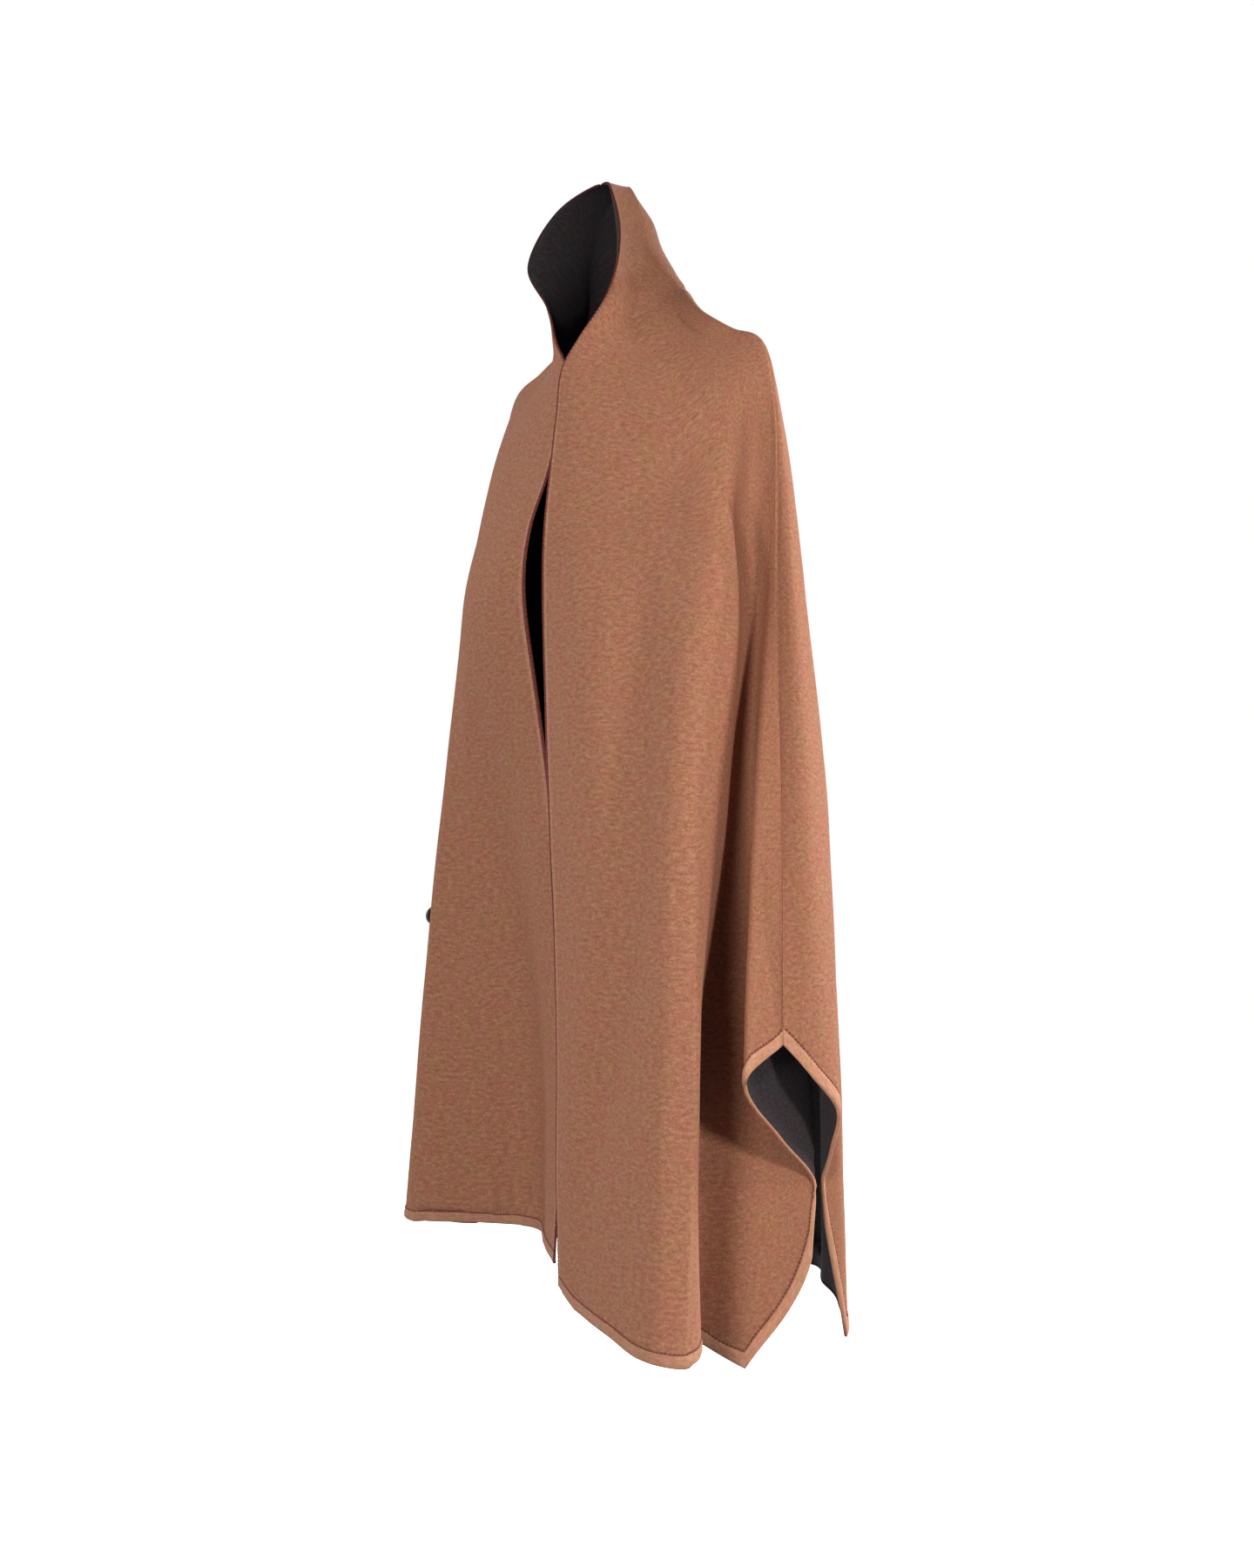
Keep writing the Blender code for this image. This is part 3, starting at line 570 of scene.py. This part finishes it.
def add_panel(name, outer, inner, bulge, places, covered, materials, side):
    """Cloth wall between two point grids over the covered cells, with a rounded rim where the bulge
    is not zero."""
    used = np.zeros(outer.shape[:2], dtype=bool)
    for corner in CORNERS:
        used[corner] |= covered
    number = np.cumsum(used).reshape(used.shape) - 1
    offset = int(used.sum())
    flat_outer, flat_inner, flat_bulge, flat_places = (
        grid[used] for grid in (outer, inner, bulge, places))
    vertices = [flat_outer, flat_inner]
    uvs = [flat_places, flat_places]
    cell_columns = np.nonzero(covered)[1]
    quads = np.stack([number[CORNERS[k]][covered] for k in (0, 1, 3, 2)], axis=1)
    faces = quads.tolist() + (quads[:, ::-1] + offset).tolist()
    strips = np.where(cell_columns < STRIP_CELLS, STRIP, OUTSIDE)
    beside_edge = np.where(cell_columns < RIM_CELLS, RIM, strips)
    kinds = beside_edge.tolist() if bulge.any() else [OUTSIDE] * len(quads)
    kinds += [INSIDE] * len(quads)
    edges = open_edges(quads)
    rim = {}
    rim_points = []
    rim_places = []
    for spot in dict.fromkeys(spot for edge in edges for spot in edge):
        first = 2 * offset + len(rim_points)
        rim[spot] = [spot, *range(first, first + len(RIM_ANGLES)), spot + offset]
        middle = (flat_outer[spot] + flat_inner[spot]) / 2
        half = (flat_outer[spot] - flat_inner[spot]) / 2
        rim_points += [middle + half * np.cos(angle) + flat_bulge[spot] * np.sin(angle)
                       for angle in RIM_ANGLES]
        rim_places += [flat_places[spot]] * len(RIM_ANGLES)
    for start, end in edges:
        rounded = np.linalg.norm(flat_bulge[start]) + np.linalg.norm(flat_bulge[end]) > TINY
        for k in range(len(RIM_ANGLES) + 1):
            faces.append([rim[end][k], rim[start][k], rim[start][k + 1], rim[end][k + 1]])
            kinds.append(RIM if rounded else OUTSIDE)
    vertices.append(np.array(rim_points))
    uvs.append(np.array(rim_places))
    return plain(name, np.concatenate(vertices), faces, materials, side, kinds, np.concatenate(uvs))


def front_panel(name, shell, side, materials):
    outer, inner, neck_row = shell.outer.copy(), shell.inner.copy(), shell.neck_row
    for points in (outer, inner):
        pull_in(points, np.s_[neck_row:, SEAM_COLUMN], np.s_[neck_row:, SEAM_COLUMN - 1])
        pull_in(points, np.s_[neck_row, SEAM_COLUMN:], np.s_[neck_row - 1, SEAM_COLUMN:])
    outer[outer[..., 0] == 0.0, 0] = SEAM_GAP / 2
    hood = np.s_[:neck_row + 1, :, 0]
    inner[hood] = np.maximum(inner[hood], SEAM_GAP / 2 + outer[hood] * LEAST_INNER_SHARE)
    bulge = np.zeros_like(outer)
    bulge[:, 0] = unit(outer[:, 0] - outer[:, RIM_COLUMN]) * CLOTH / 2
    bulge[0] = 0.0
    covered = np.ones_like(outer[1:, 1:, 0], dtype=bool)
    covered[neck_row:, SEAM_COLUMN:] = False
    return add_panel(name, outer, inner, bulge, shell.places, covered, materials, side), outer


def whole_back(left_shell, right_shell):
    """Outer points, inner points, normals and cloth coordinates from the left seam to the right."""
    grids = []
    for shell, side in ((left_shell, 1), (right_shell, -1)):
        kept = np.s_[shell.neck_row:, SEAM_COLUMN:]
        grid = [handed(points[kept], side) for points in (shell.outer, shell.inner, shell.normals)]
        grids.append(grid + [handed_places(shell.places[kept], side)])
    joined = [np.concatenate([left, right[:, -2::-1]], axis=1) for left, right in zip(*grids)]
    for points in joined[:2]:
        pull_in(points, np.s_[:, 0], np.s_[:, 1])
        pull_in(points, np.s_[:, -1], np.s_[:, -2])
        pull_in(points, np.s_[0], np.s_[1])
    return joined


def handed_places(places, side):
    """Cloth coordinates measured from the centre back."""
    from_centre = places.copy()
    from_centre[..., 0] = (places[..., 0] - places[:, -1:, 0]) * side
    return from_centre


# Cross-section of the band: the row that it lies on, counted from the band's first row, and its
# height over the cloth, then the points past the cut edge as (past the edge, above the cloth)
BAND_HEIGHTS = (0.0002, 0.0009, 0.0012, 0.0013, 0.0012, 0.0011, 0.0008)
BAND_TURN = ((0.0006, 0.0002), (0.0009, -0.0008), (0.0009, -0.0018), (0.0005, -0.0027),
             (-0.0004, -0.0031), (-0.0014, -0.003), (-0.0016, -0.0026), (0.0001, -0.0025),
             (0.0002, 0.0001))
BAND_UNDER = 0.0001
BAND_RETURN_ROWS = (-3, -5)


def add_band(name, points, normals, material, side=1):
    """Band sewn over the last rows of a panel and turned round its cut edge."""
    last = points[-1]
    along = unit(np.gradient(last, axis=0))
    past = unit(np.cross(along, normals[-1]))
    down = last - points[BAND_RETURN_ROWS[0]]
    past *= np.sign((past * down).sum(-1, keepdims=True))
    ring = [points[BAND_ROW + k] + normals[BAND_ROW + k] * height for k, height in enumerate(BAND_HEIGHTS)]
    ring += [last + past * further + normals[-1] * above for further, above in BAND_TURN]
    ring += [points[row] + normals[row] * BAND_UNDER for row in BAND_RETURN_ROWS]
    ring = np.array(ring)
    size, count = ring.shape[:2]
    around = run_lengths(ring[:, count // 2])
    uvs = np.stack(np.broadcast_arrays(run_lengths(last), around[:, None]), axis=-1)
    starts = [(k * count, (k + 1) % size * count) for k in range(size)]
    faces = [[low + i, high + i, high + i + 1, low + i + 1] for low, high in starts for i in range(count - 1)]
    faces.append([k * count for k in range(size)][::-1])
    faces.append([k * count + count - 1 for k in range(size)])
    return plain(name, ring.reshape(-1, 3), faces, [material], side, None, uvs.reshape(-1, 2))


# Stitches: a short thread that rises out of the cloth and goes back in
STITCH_RINGS = ((-1.0, 0.35), (-0.72, 0.85), (-0.25, 1.0), (0.25, 1.0), (0.72, 0.85), (1.0, 0.35))
STITCH_SIDES = 6
STITCH_SINK = 0.6


def stitch_run(line, outward, pitch, length, radius, lift):
    """Points and faces of one row of stitches along a line on the cloth."""
    run = run_lengths(line)
    count = max(int((run[-1] - length) / pitch), 1)
    centres = (run[-1] - (count - 1) * pitch) / 2 + np.arange(count) * pitch
    stations = []
    for share, size in STITCH_RINGS:
        at = centres + share * length / 2
        where = read_line(at, run, line)
        out = unit(read_line(at, run, outward))
        rise = lift * (1 - share**2) - radius * STITCH_SINK * share**2
        stations.append((where + out * rise, out, size * radius))
    direction = unit(stations[-1][0] - stations[0][0])
    rings = []
    for where, out, size in stations:
        across = unit(np.cross(direction, out))
        upward = np.cross(across, direction)
        rings += [where + place * size for place in circle(across, upward, STITCH_SIDES)]
    vertices = np.array(rings).transpose(1, 0, 2)
    per_stitch = len(STITCH_RINGS) * STITCH_SIDES
    # The faces turned over, each still from its first corner
    single = [face[:1] + face[:0:-1] for face in ring_faces(len(STITCH_RINGS), STITCH_SIDES)]
    single.append(list(range(STITCH_SIDES))[::-1])
    single.append(list(range(per_stitch - STITCH_SIDES, per_stitch)))
    faces = [[corner + s * per_stitch for corner in face] for s in range(count) for face in single]
    return vertices.reshape(-1, 3), faces


def add_stitches(name, rows, material, side=1):
    vertices = []
    faces = []
    for row in rows:
        row_vertices, row_faces = stitch_run(*row)
        faces += [[corner + len(vertices) for corner in face] for face in row_faces]
        vertices += row_vertices.tolist()
    return plain(name, np.array(vertices), faces, [material], side)


def new_material(name):
    material = bpy.data.materials.new(name)
    material.use_nodes = True
    return material, material.node_tree, material.node_tree.nodes["Principled BSDF"]


def fill(tree, entry, value):
    """Link a node's input to an output, or set it to a colour, a vector or a number."""
    if isinstance(value, bpy.types.NodeSocket):
        tree.links.new(value, entry)
    elif entry.type == "RGBA":
        entry.default_value = (*value, 1.0)
    else:
        entry.default_value = value


def fill_all(tree, made, **inputs):
    for key, value in inputs.items():
        fill(tree, made.inputs[key.replace("_", " ")], value)
    return made


def node(tree, kind, **inputs):
    return fill_all(tree, tree.nodes.new(kind), **inputs)


def grain(tree, places, size, detail, roughness=0.5):
    """Noise whose grain is the given size in metres along and down the cloth."""
    mapping = node(tree, "ShaderNodeMapping", Vector=places, Scale=(1 / size[0], 1 / size[1], 1.0))
    made = node(tree, "ShaderNodeTexNoise", Vector=mapping.outputs["Vector"], Scale=1.0, Detail=detail,
                Roughness=roughness)
    return made.outputs["Fac"]


def object_noise(tree, scale, detail, distortion=0.0):
    """Noise laid on the object's own coordinates."""
    places = tree.nodes.new("ShaderNodeTexCoord").outputs["Object"]
    made = node(tree, "ShaderNodeTexNoise", Vector=places, Scale=scale, Detail=detail, Distortion=distortion)
    return made.outputs["Fac"]


def ramp(tree, value, *stops):
    """Colour ramp from stops given as (place, colour)."""
    made = node(tree, "ShaderNodeValToRGB", Fac=value)
    elements = made.color_ramp.elements
    for element, (place, colour) in zip(elements, (stops[0], stops[-1])):
        element.position = place
        element.color = (*colour, 1.0)
    for place, colour in stops[1:-1]:
        elements.new(place).color = (*colour, 1.0)
    return made.outputs["Color"]


def greys(tree, value, *stops):
    """Ramp from grey levels given as (place, level)."""
    return ramp(tree, value, *[(place, (level, level, level)) for place, level in stops])


def mix(tree, blend, factor, first, second):
    made = tree.nodes.new("ShaderNodeMix")
    made.data_type = "RGBA"
    made.blend_type = blend
    for index, value in ((0, factor), (6, first), (7, second)):
        fill(tree, made.inputs[index], value)
    return made.outputs[2]


def maths(tree, operation, first, second):
    made = tree.nodes.new("ShaderNodeMath")
    made.operation = operation
    for index, value in enumerate((first, second)):
        fill(tree, made.inputs[index], value)
    return made.outputs[0]


def scaled(tree, value, share):
    return maths(tree, "MULTIPLY", value, share)


def finish_surface(tree, shader, colour, roughness, height, strength, distance):
    bump = node(tree, "ShaderNodeBump", Strength=strength, Distance=distance, Height=height)
    fill_all(tree, shader, Base_Color=colour, Roughness=roughness, Normal=bump.outputs["Normal"])


# Size of each kind of grain in metres, across and down the cloth
FIBRE = (0.0026, 0.0018)
STREAK = (0.0085, 0.0036)
PINK_PATCH = (0.03, 0.022)
OCHRE_PATCH = (0.024, 0.04)
SPECK = (0.0022, 0.0015)
RIB = (0.0019, 0.03)

# Where the dark, middle and light tones sit in the mixed grain, and how strong patches and flecks are
TONE_PLACES = (0.27, 0.5, 0.73)
PATCH_SHARE = 0.7
FLECK_SHARE = 0.3
NAP_HEIGHT = 0.0009

# Painted shade on the hood: where it starts and where it is full, as twice the length in metres above the
# chest, and the tone that it leaves
HOOD_SHADE_START = 0.62
HOOD_SHADE_FULL = 0.78
HOOD_SHADE_TONE = 0.56

# Painted shade on a front's band along the hem: the share of its tone left there, and where along the hem the
# shade ends and the full tone starts, in metres
HEM_SHADE_TONE = 0.8
HEM_SHADE_END = 0.32
UNSHADED_TONE_START = 0.52

# Tint of the pinkish and of the ochre patches
PINK = (1.04, 0.9, 0.95)
OCHRE = (0.97, 1.05, 0.88)


def wool(name, tones, fleck, sheen, nap, pink=PINK, ochre=OCHRE, hem_shade_tone=1.0):
    """Brushed melange wool: mixed fibre, pinkish and ochre patches, flecks and a short nap. Painted
    shade darkens the hood against the hanging cloth, and a front's band along its hem."""
    material, tree, shader = new_material(name)
    places = node(tree, "ShaderNodeUVMap")
    places.uv_map = "Cloth"
    uv = places.outputs["UV"]
    fibres = grain(tree, uv, FIBRE, 3.0, 0.62)
    streaks = grain(tree, uv, STREAK, 1.0)
    mixed = maths(tree, "ADD", scaled(tree, fibres, 0.6), scaled(tree, streaks, 0.4))
    colour = ramp(tree, mixed, *zip(TONE_PLACES, tones))
    for size, tint, start, full in ((PINK_PATCH, pink, 0.42, 0.6), (OCHRE_PATCH, ochre, 0.46, 0.62)):
        patches = greys(tree, grain(tree, uv, size, 2.0), (start, 0.0), (full, 1.0))
        tinted = mix(tree, "MULTIPLY", 1.0, colour, tint)
        colour = mix(tree, "MIX", scaled(tree, patches, PATCH_SHARE), colour, tinted)
    flecks = greys(tree, grain(tree, uv, SPECK, 1.0), (0.66, 0.0), (0.76, 1.0))
    colour = mix(tree, "MIX", scaled(tree, flecks, FLECK_SHARE), colour, fleck)
    parts = node(tree, "ShaderNodeSeparateXYZ", Vector=uv)
    twice_above = scaled(tree, parts.outputs["Y"], -2.0)
    # Painted shade: the colour is darkened on the hood, above the chest
    hood = greys(tree, twice_above, (HOOD_SHADE_START, 1.0), (HOOD_SHADE_FULL, HOOD_SHADE_TONE))
    # Painted shade: the colour is darkened along a front's band at the hem, from the front edge
    hem = greys(tree, parts.outputs["X"], (HEM_SHADE_END, hem_shade_tone), (UNSHADED_TONE_START, 1.0))
    colour = mix(tree, "MULTIPLY", 1.0, mix(tree, "MULTIPLY", 1.0, colour, hood), hem)
    roughness = greys(tree, fibres, (0.3, 0.96), (0.7, 0.8))
    ribs = grain(tree, uv, RIB, 2.0)
    height = maths(tree, "ADD", scaled(tree, fibres, 0.45), scaled(tree, ribs, 0.45))
    finish_surface(tree, shader, colour, roughness, height, nap, NAP_HEIGHT)
    fill_all(tree, shader, Specular_IOR_Level=0.12, Sheen_Weight=sheen, Sheen_Roughness=0.55,
             Sheen_Tint=[min(1.0, v * 2.0) for v in tones[-1]])
    return material


def horn(name):
    """Dark horn with lighter streaks, satin."""
    material, tree, shader = new_material(name)
    streaks = object_noise(tree, 260.0, 4.0, 1.4)
    colour = ramp(tree, streaks, (0.35, (0.012, 0.007, 0.006)), (0.55, (0.03, 0.015, 0.012)),
                  (0.75, (0.085, 0.04, 0.026)))
    roughness = greys(tree, streaks, (0.3, 0.32), (0.7, 0.46))
    finish_surface(tree, shader, colour, roughness, streaks, 0.15, 0.0002)
    return material


def thread(name, colour, lighter):
    """Sewing thread with its twist."""
    material, tree, shader = new_material(name)
    twist = object_noise(tree, 2400.0, 1.0)
    twisted = ramp(tree, twist, (0.35, colour), (0.65, lighter))
    roughness = greys(tree, twist, (0.3, 0.75), (0.7, 0.6))
    finish_surface(tree, shader, twisted, roughness, twist, 0.4, 0.0002)
    return material


def floor_material():
    material, tree, shader = new_material("pale floor")
    cloudy = greys(tree, object_noise(tree, 3.0, 3.0), (0.3, 0.86), (0.7, 0.9))
    fill_all(tree, shader, Base_Color=cloudy, Roughness=0.9, Emission_Color=(1.0, 1.0, 1.0),
             Emission_Strength=1.0)
    return material


def place_camera():
    data = bpy.data.cameras.new("camera")
    data.sensor_fit = "VERTICAL"
    data.sensor_height = SENSOR
    data.lens = FOCAL_PIXELS / PICTURE_HEIGHT * SENSOR
    camera = new_object("camera", data)
    toward = Vector((np.sin(VIEW_TURN), -np.cos(VIEW_TURN), 0.0))
    right = Vector((np.cos(VIEW_TURN), np.sin(VIEW_TURN), 0.0))
    camera.location = toward * VIEW_DISTANCE + right * VIEW_SIDE + Vector((0.0, 0.0, VIEW_HEIGHT))
    camera.rotation_euler = Euler((np.pi / 2, 0.0, VIEW_TURN))
    bpy.context.scene.camera = camera


# Lights: name, degrees to the right of the camera, degrees up, distance, size, power, colour
LIGHTS = (
    ("left", -44.0, 7.0, 3.4, 0.9, 34.0, (0.98, 0.99, 1.0)),
    ("front", -20.0, 10.0, 3.2, 0.7, 60.0, (1.0, 0.99, 0.98)),
    ("key", 40.0, 12.0, 3.2, 0.5, 56.0, (1.0, 0.98, 0.96)),
    ("right", 85.0, 12.0, 3.2, 0.8, 58.0, (1.0, 0.99, 0.98)),
    ("rim", 118.0, 12.0, 3.2, 1.0, 98.0, (1.0, 0.99, 0.98)),
    ("back left", 172.0, 34.0, 3.4, 1.6, 60.0, (1.0, 0.99, 0.98)),
    ("back right", -128.0, 28.0, 3.4, 2.0, 40.0, (0.98, 0.99, 1.0)),
)
LIGHT_TARGET = Vector((0.1, -0.03, -0.45))
AMBIENT = 0.1
AMBIENT_COLOUR = (0.9, 0.92, 1.0)


def place_lights():
    for name, aside, up, distance, size, power, colour in LIGHTS:
        data = bpy.data.lights.new(name, "AREA")
        data.shape = "DISK"
        data.size = size
        data.energy = power
        data.color = colour
        lamp = new_object(name, data)
        turn = VIEW_TURN + np.radians(aside)
        rise = np.radians(up)
        direction = Vector((np.sin(turn) * np.cos(rise), -np.cos(turn) * np.cos(rise), np.sin(rise)))
        lamp.location = LIGHT_TARGET + direction * distance
        lamp.rotation_euler = direction.to_track_quat("Z", "Y").to_euler()
    world = bpy.data.worlds.new("studio")
    world.use_nodes = True
    background = world.node_tree.nodes["Background"]
    fill_all(world.node_tree, background, Color=AMBIENT_COLOUR, Strength=AMBIENT)
    bpy.context.scene.world = world
    bpy.context.scene.view_settings.view_transform = "Standard"


FLOOR_HALF = 6.0
DOME_RADIUS = 7.5
DOME_SIDES = 48
DOME_RINGS = 23


def place_floor():
    signs = ((-1, -1), (1, -1), (1, 1), (-1, 1))
    corners = np.array([(x * FLOOR_HALF, y * FLOOR_HALF, FLOOR_Z) for x, y in signs])
    floor = plain("floor", corners, [[0, 1, 2, 3]], [floor_material()])
    floor.visible_diffuse = False


def place_dome():
    """White surroundings that only the camera sees."""
    turns = np.arange(DOME_SIDES) * 2 * np.pi / DOME_SIDES
    rises = np.linspace(-np.pi / 2, np.pi / 2, DOME_RINGS + 2)[1:-1]
    points = [(np.cos(r) * np.cos(t), np.cos(r) * np.sin(t), np.sin(r)) for r in rises for t in turns]
    points += [(0.0, 0.0, -1.0), (0.0, 0.0, 1.0)]
    faces = ring_faces(DOME_RINGS, DOME_SIDES)
    last = (DOME_RINGS - 1) * DOME_SIDES
    for k in range(DOME_SIDES):
        following = (k + 1) % DOME_SIDES
        faces.append([k, following, len(points) - 2])
        faces.append([last + following, last + k, len(points) - 1])
    material, tree = new_material("white surroundings")[:2]
    glow = node(tree, "ShaderNodeEmission", Strength=1.0)
    fill_all(tree, tree.nodes["Material Output"], Surface=glow.outputs["Emission"])
    dome = plain("dome", np.array(points) * DOME_RADIUS, faces, [material])
    for rays in ("diffuse", "glossy", "transmission", "volume_scatter", "shadow"):
        setattr(dome, "visible_" + rays, False)


def button_seat(shell, side):
    column = int(np.argmin(np.abs(FOLD_PLACES - BUTTON_FOLD)))
    row = shell.neck_row + int(np.argmax(shell.outer[shell.neck_row:, column, 2] < BUTTON_Z))
    return handed(shell.outer[row, column], side), handed(shell.normals[row, column], side)


# Button profile from the rim of its back to its dished face, as (radius, height) shares, and the
# height share that the thread lies at
BUTTON_PROFILE = ((0.7, 0.0), (0.9, 0.1), (0.98, 0.3), (1.0, 0.52), (0.98, 0.76), (0.92, 0.94),
                  (0.84, 1.0), (0.76, 0.93), (0.7, 0.78), (0.6, 0.7))
THREAD_HEIGHT = 0.66
BUTTON_SIDES = 64
BUTTON_LIFT = SEAM_GAP + 0.0002
SHARP_ANGLE = np.radians(40)

# Four holes, how far their cutters reach from the button's back, and the points of a thread
HOLES = 4
HOLE_SIDES = 16
HOLE_RADIUS = 0.0011
HOLE_OFFSET = 0.0024
HOLE_REACH = (-0.004, 0.008)
THREAD_POINTS = 9


def cut_holes(button, middles, across, up, out):
    """Cuts a round hole through the button at each of the given places. Each side face of a cutter
    starts at its far end."""
    cutters = []
    for k, middle in enumerate(middles):
        rim = [middle + place * HOLE_RADIUS + out * height
               for height in HOLE_REACH for place in circle(across, up, HOLE_SIDES)]
        sides = [face[1:] + face[:1] for face in ring_faces(2, HOLE_SIDES)]
        sides += [list(range(HOLE_SIDES)), [HOLE_SIDES + i for i in reversed(range(HOLE_SIDES))]]
        cutters.append(plain("hole_" + str(k), np.array(rim), sides, []))
        cut = button.modifiers.new("hole", "BOOLEAN")
        cut.operation = "DIFFERENCE"
        cut.object = cutters[-1]
        cut.solver = "EXACT"
    graph = bpy.context.evaluated_depsgraph_get()
    finished = bpy.data.meshes.new_from_object(button.evaluated_get(graph), depsgraph=graph)
    button.modifiers.clear()
    button.data = finished
    for cutter in cutters:
        bpy.data.objects.remove(cutter, do_unlink=True)
    finished.shade_smooth()
    finished.set_sharp_from_angle(angle=SHARP_ANGLE)


def add_button(name, seat, out, material):
    """Button with four holes, and the two threads that cross in them."""
    across = unit(np.cross(out, (0.0, 0.0, 1.0)))
    up = np.cross(across, out)
    base = seat + out * BUTTON_LIFT
    vertices = [base + place * radius * BUTTON_RADIUS + out * height * BUTTON_THICKNESS
                for radius, height in BUTTON_PROFILE for place in circle(across, up, BUTTON_SIDES)]
    faces = ring_faces(len(BUTTON_PROFILE), BUTTON_SIDES)
    faces.append(list(range(BUTTON_SIDES)))
    faces.append([len(vertices) - 1 - i for i in range(BUTTON_SIDES)])
    button = plain(name, np.array(vertices), faces, [material])
    middles = [base + (across * np.cos(angle) + up * np.sin(angle)) * HOLE_OFFSET
               for angle in np.pi / 4 + np.arange(HOLES) * np.pi / 2]
    cut_holes(button, middles, across, up, out)
    threads = []
    for first, second in ((0, 2), (1, 3)):
        line = np.array([middles[first] + (middles[second] - middles[first]) * t
                         for t in np.linspace(0, 1, THREAD_POINTS)])
        line = line + out * BUTTON_THICKNESS * THREAD_HEIGHT
        threads.append((line, np.tile(out, (THREAD_POINTS, 1)), *BUTTON_STITCH))
    return button, threads


def inset_line(outer, normals, distance):
    """Line at the given distance in from the front edge, with the cloth's normals along it."""
    lines = []
    outs = []
    for points, out in zip(outer[1:-1], normals[1:-1]):
        lengths = run_lengths(points)
        lines.append(read_line(distance, lengths, points))
        outs.append(read_line(distance, lengths, out))
    return np.array(lines), unit(np.array(outs))


# Stitches: pitch, length, radius and how high the middle stands above the cloth
BAND_STITCH = (0.0042, 0.0038, 0.00085, 0.0004)
EDGE_STITCH = (0.0042, 0.0037, 0.0005, 0.00022)
BUTTON_STITCH = (0.0049, 0.0048, 0.0005, 0.0006)
EDGE_STITCH_INSET = 0.0016


def dress_front(name, shell, side, materials, band_material, stitch_material):
    """Cloth, edge band and stitches of one front."""
    panel, outer = front_panel(name + "_cloth", shell, side, materials)
    columns = slice(0, SEAM_COLUMN + 1)
    band = add_band(name + "_edge_band", outer[:, columns], shell.normals[:, columns], band_material, side)
    rows = [(outer[BAND_ROW - 1, columns], shell.normals[BAND_ROW - 1, columns], *BAND_STITCH),
            (*inset_line(outer, shell.normals, EDGE_STITCH_INSET), *EDGE_STITCH)]
    stitches = add_stitches(name + "_stitches", rows, stitch_material, side)
    return panel, band, stitches


# Build
place_camera()
place_lights()
place_floor()
place_dome()

camel = wool("camel wool", ((0.17, 0.068, 0.038), (0.308, 0.133, 0.077), (0.465, 0.222, 0.136)),
             (0.12, 0.045, 0.028), 0.1, 0.38)
charcoal = wool("charcoal wool", ((0.02, 0.017, 0.018), (0.034, 0.029, 0.031), (0.06, 0.05, 0.054)),
                (0.095, 0.07, 0.066), 0.06, 0.4, (1.25, 0.9, 0.95), (1.0, 1.0, 0.92))
turned = wool("turned edge wool", ((0.24, 0.1, 0.06), (0.37, 0.17, 0.105), (0.5, 0.26, 0.17)),
              (0.2, 0.08, 0.05), 0.08, 0.35)
BAND_LOOK = (((0.33, 0.15, 0.088), (0.47, 0.23, 0.142), (0.61, 0.33, 0.22)), (0.22, 0.09, 0.06), 0.08, 0.4)
band_wool = wool("band wool", *BAND_LOOK)
# The fronts' bands are a copy of the band wool with painted shade along the hem
shaded_front_band_wool = wool("shaded front band wool", *BAND_LOOK, hem_shade_tone=HEM_SHADE_TONE)
overlock = wool("dark red overlocked edge", ((0.06, 0.014, 0.011), (0.11, 0.026, 0.019), (0.2, 0.065, 0.045)),
                (0.035, 0.012, 0.01), 0.05, 0.5)
stitch_thread = thread("dark red thread", (0.1, 0.016, 0.01), (0.19, 0.038, 0.022))
button_horn = horn("dark horn")
button_thread = thread("brown thread", (0.04, 0.018, 0.012), (0.09, 0.04, 0.026))
cloth = [camel, charcoal, turned, overlock]

left_shell = half_shell(LEFT_FRONT, LEFT_BACK + (CENTRE_BACK,), 1, LEFT_CREASES)
right_shell = half_shell(RIGHT_FRONT, RIGHT_BACK + (CENTRE_BACK,), -1, RIGHT_CREASES)
left = dress_front("left_front", left_shell, 1, cloth, shaded_front_band_wool, stitch_thread)
right = dress_front("right_front", right_shell, -1, cloth, shaded_front_band_wool, stitch_thread)

back_points, back_inner, back_normals, back_places = whole_back(left_shell, right_shell)
back_cells = np.ones_like(back_points[1:, 1:, 0], dtype=bool)
back_panel = add_panel("back_cloth", back_points, back_inner, np.zeros_like(back_points), back_places,
                       back_cells, cloth, 1)
back_band = add_band("back_edge_band", back_points, back_normals, band_wool)
back_row = (back_points[BAND_ROW - 1], back_normals[BAND_ROW - 1], *BAND_STITCH)
back_stitches = add_stitches("back_stitches", [back_row], stitch_thread)
button, button_rows = add_button("horn_button", *button_seat(right_shell, -1), button_horn)
button_stitches = add_stitches("button_stitches", button_rows, button_thread)

for piece, cad_node, slot in (
        (left[0], "left_front", "wool"), (left[1], "left_front_band", "band"), (left[2], "", "band"),
        (right[0], "right_front", "wool"), (right[1], "right_front_band", "band"), (right[2], "", "band"),
        (back_panel, "back", "wool"), (back_band, "back_band", "band"), (back_stitches, "", "band"),
        (button, "button", "button"), (button_stitches, "", "button")):
    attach(piece, "root")
    if cad_node:
        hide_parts(cad_node)
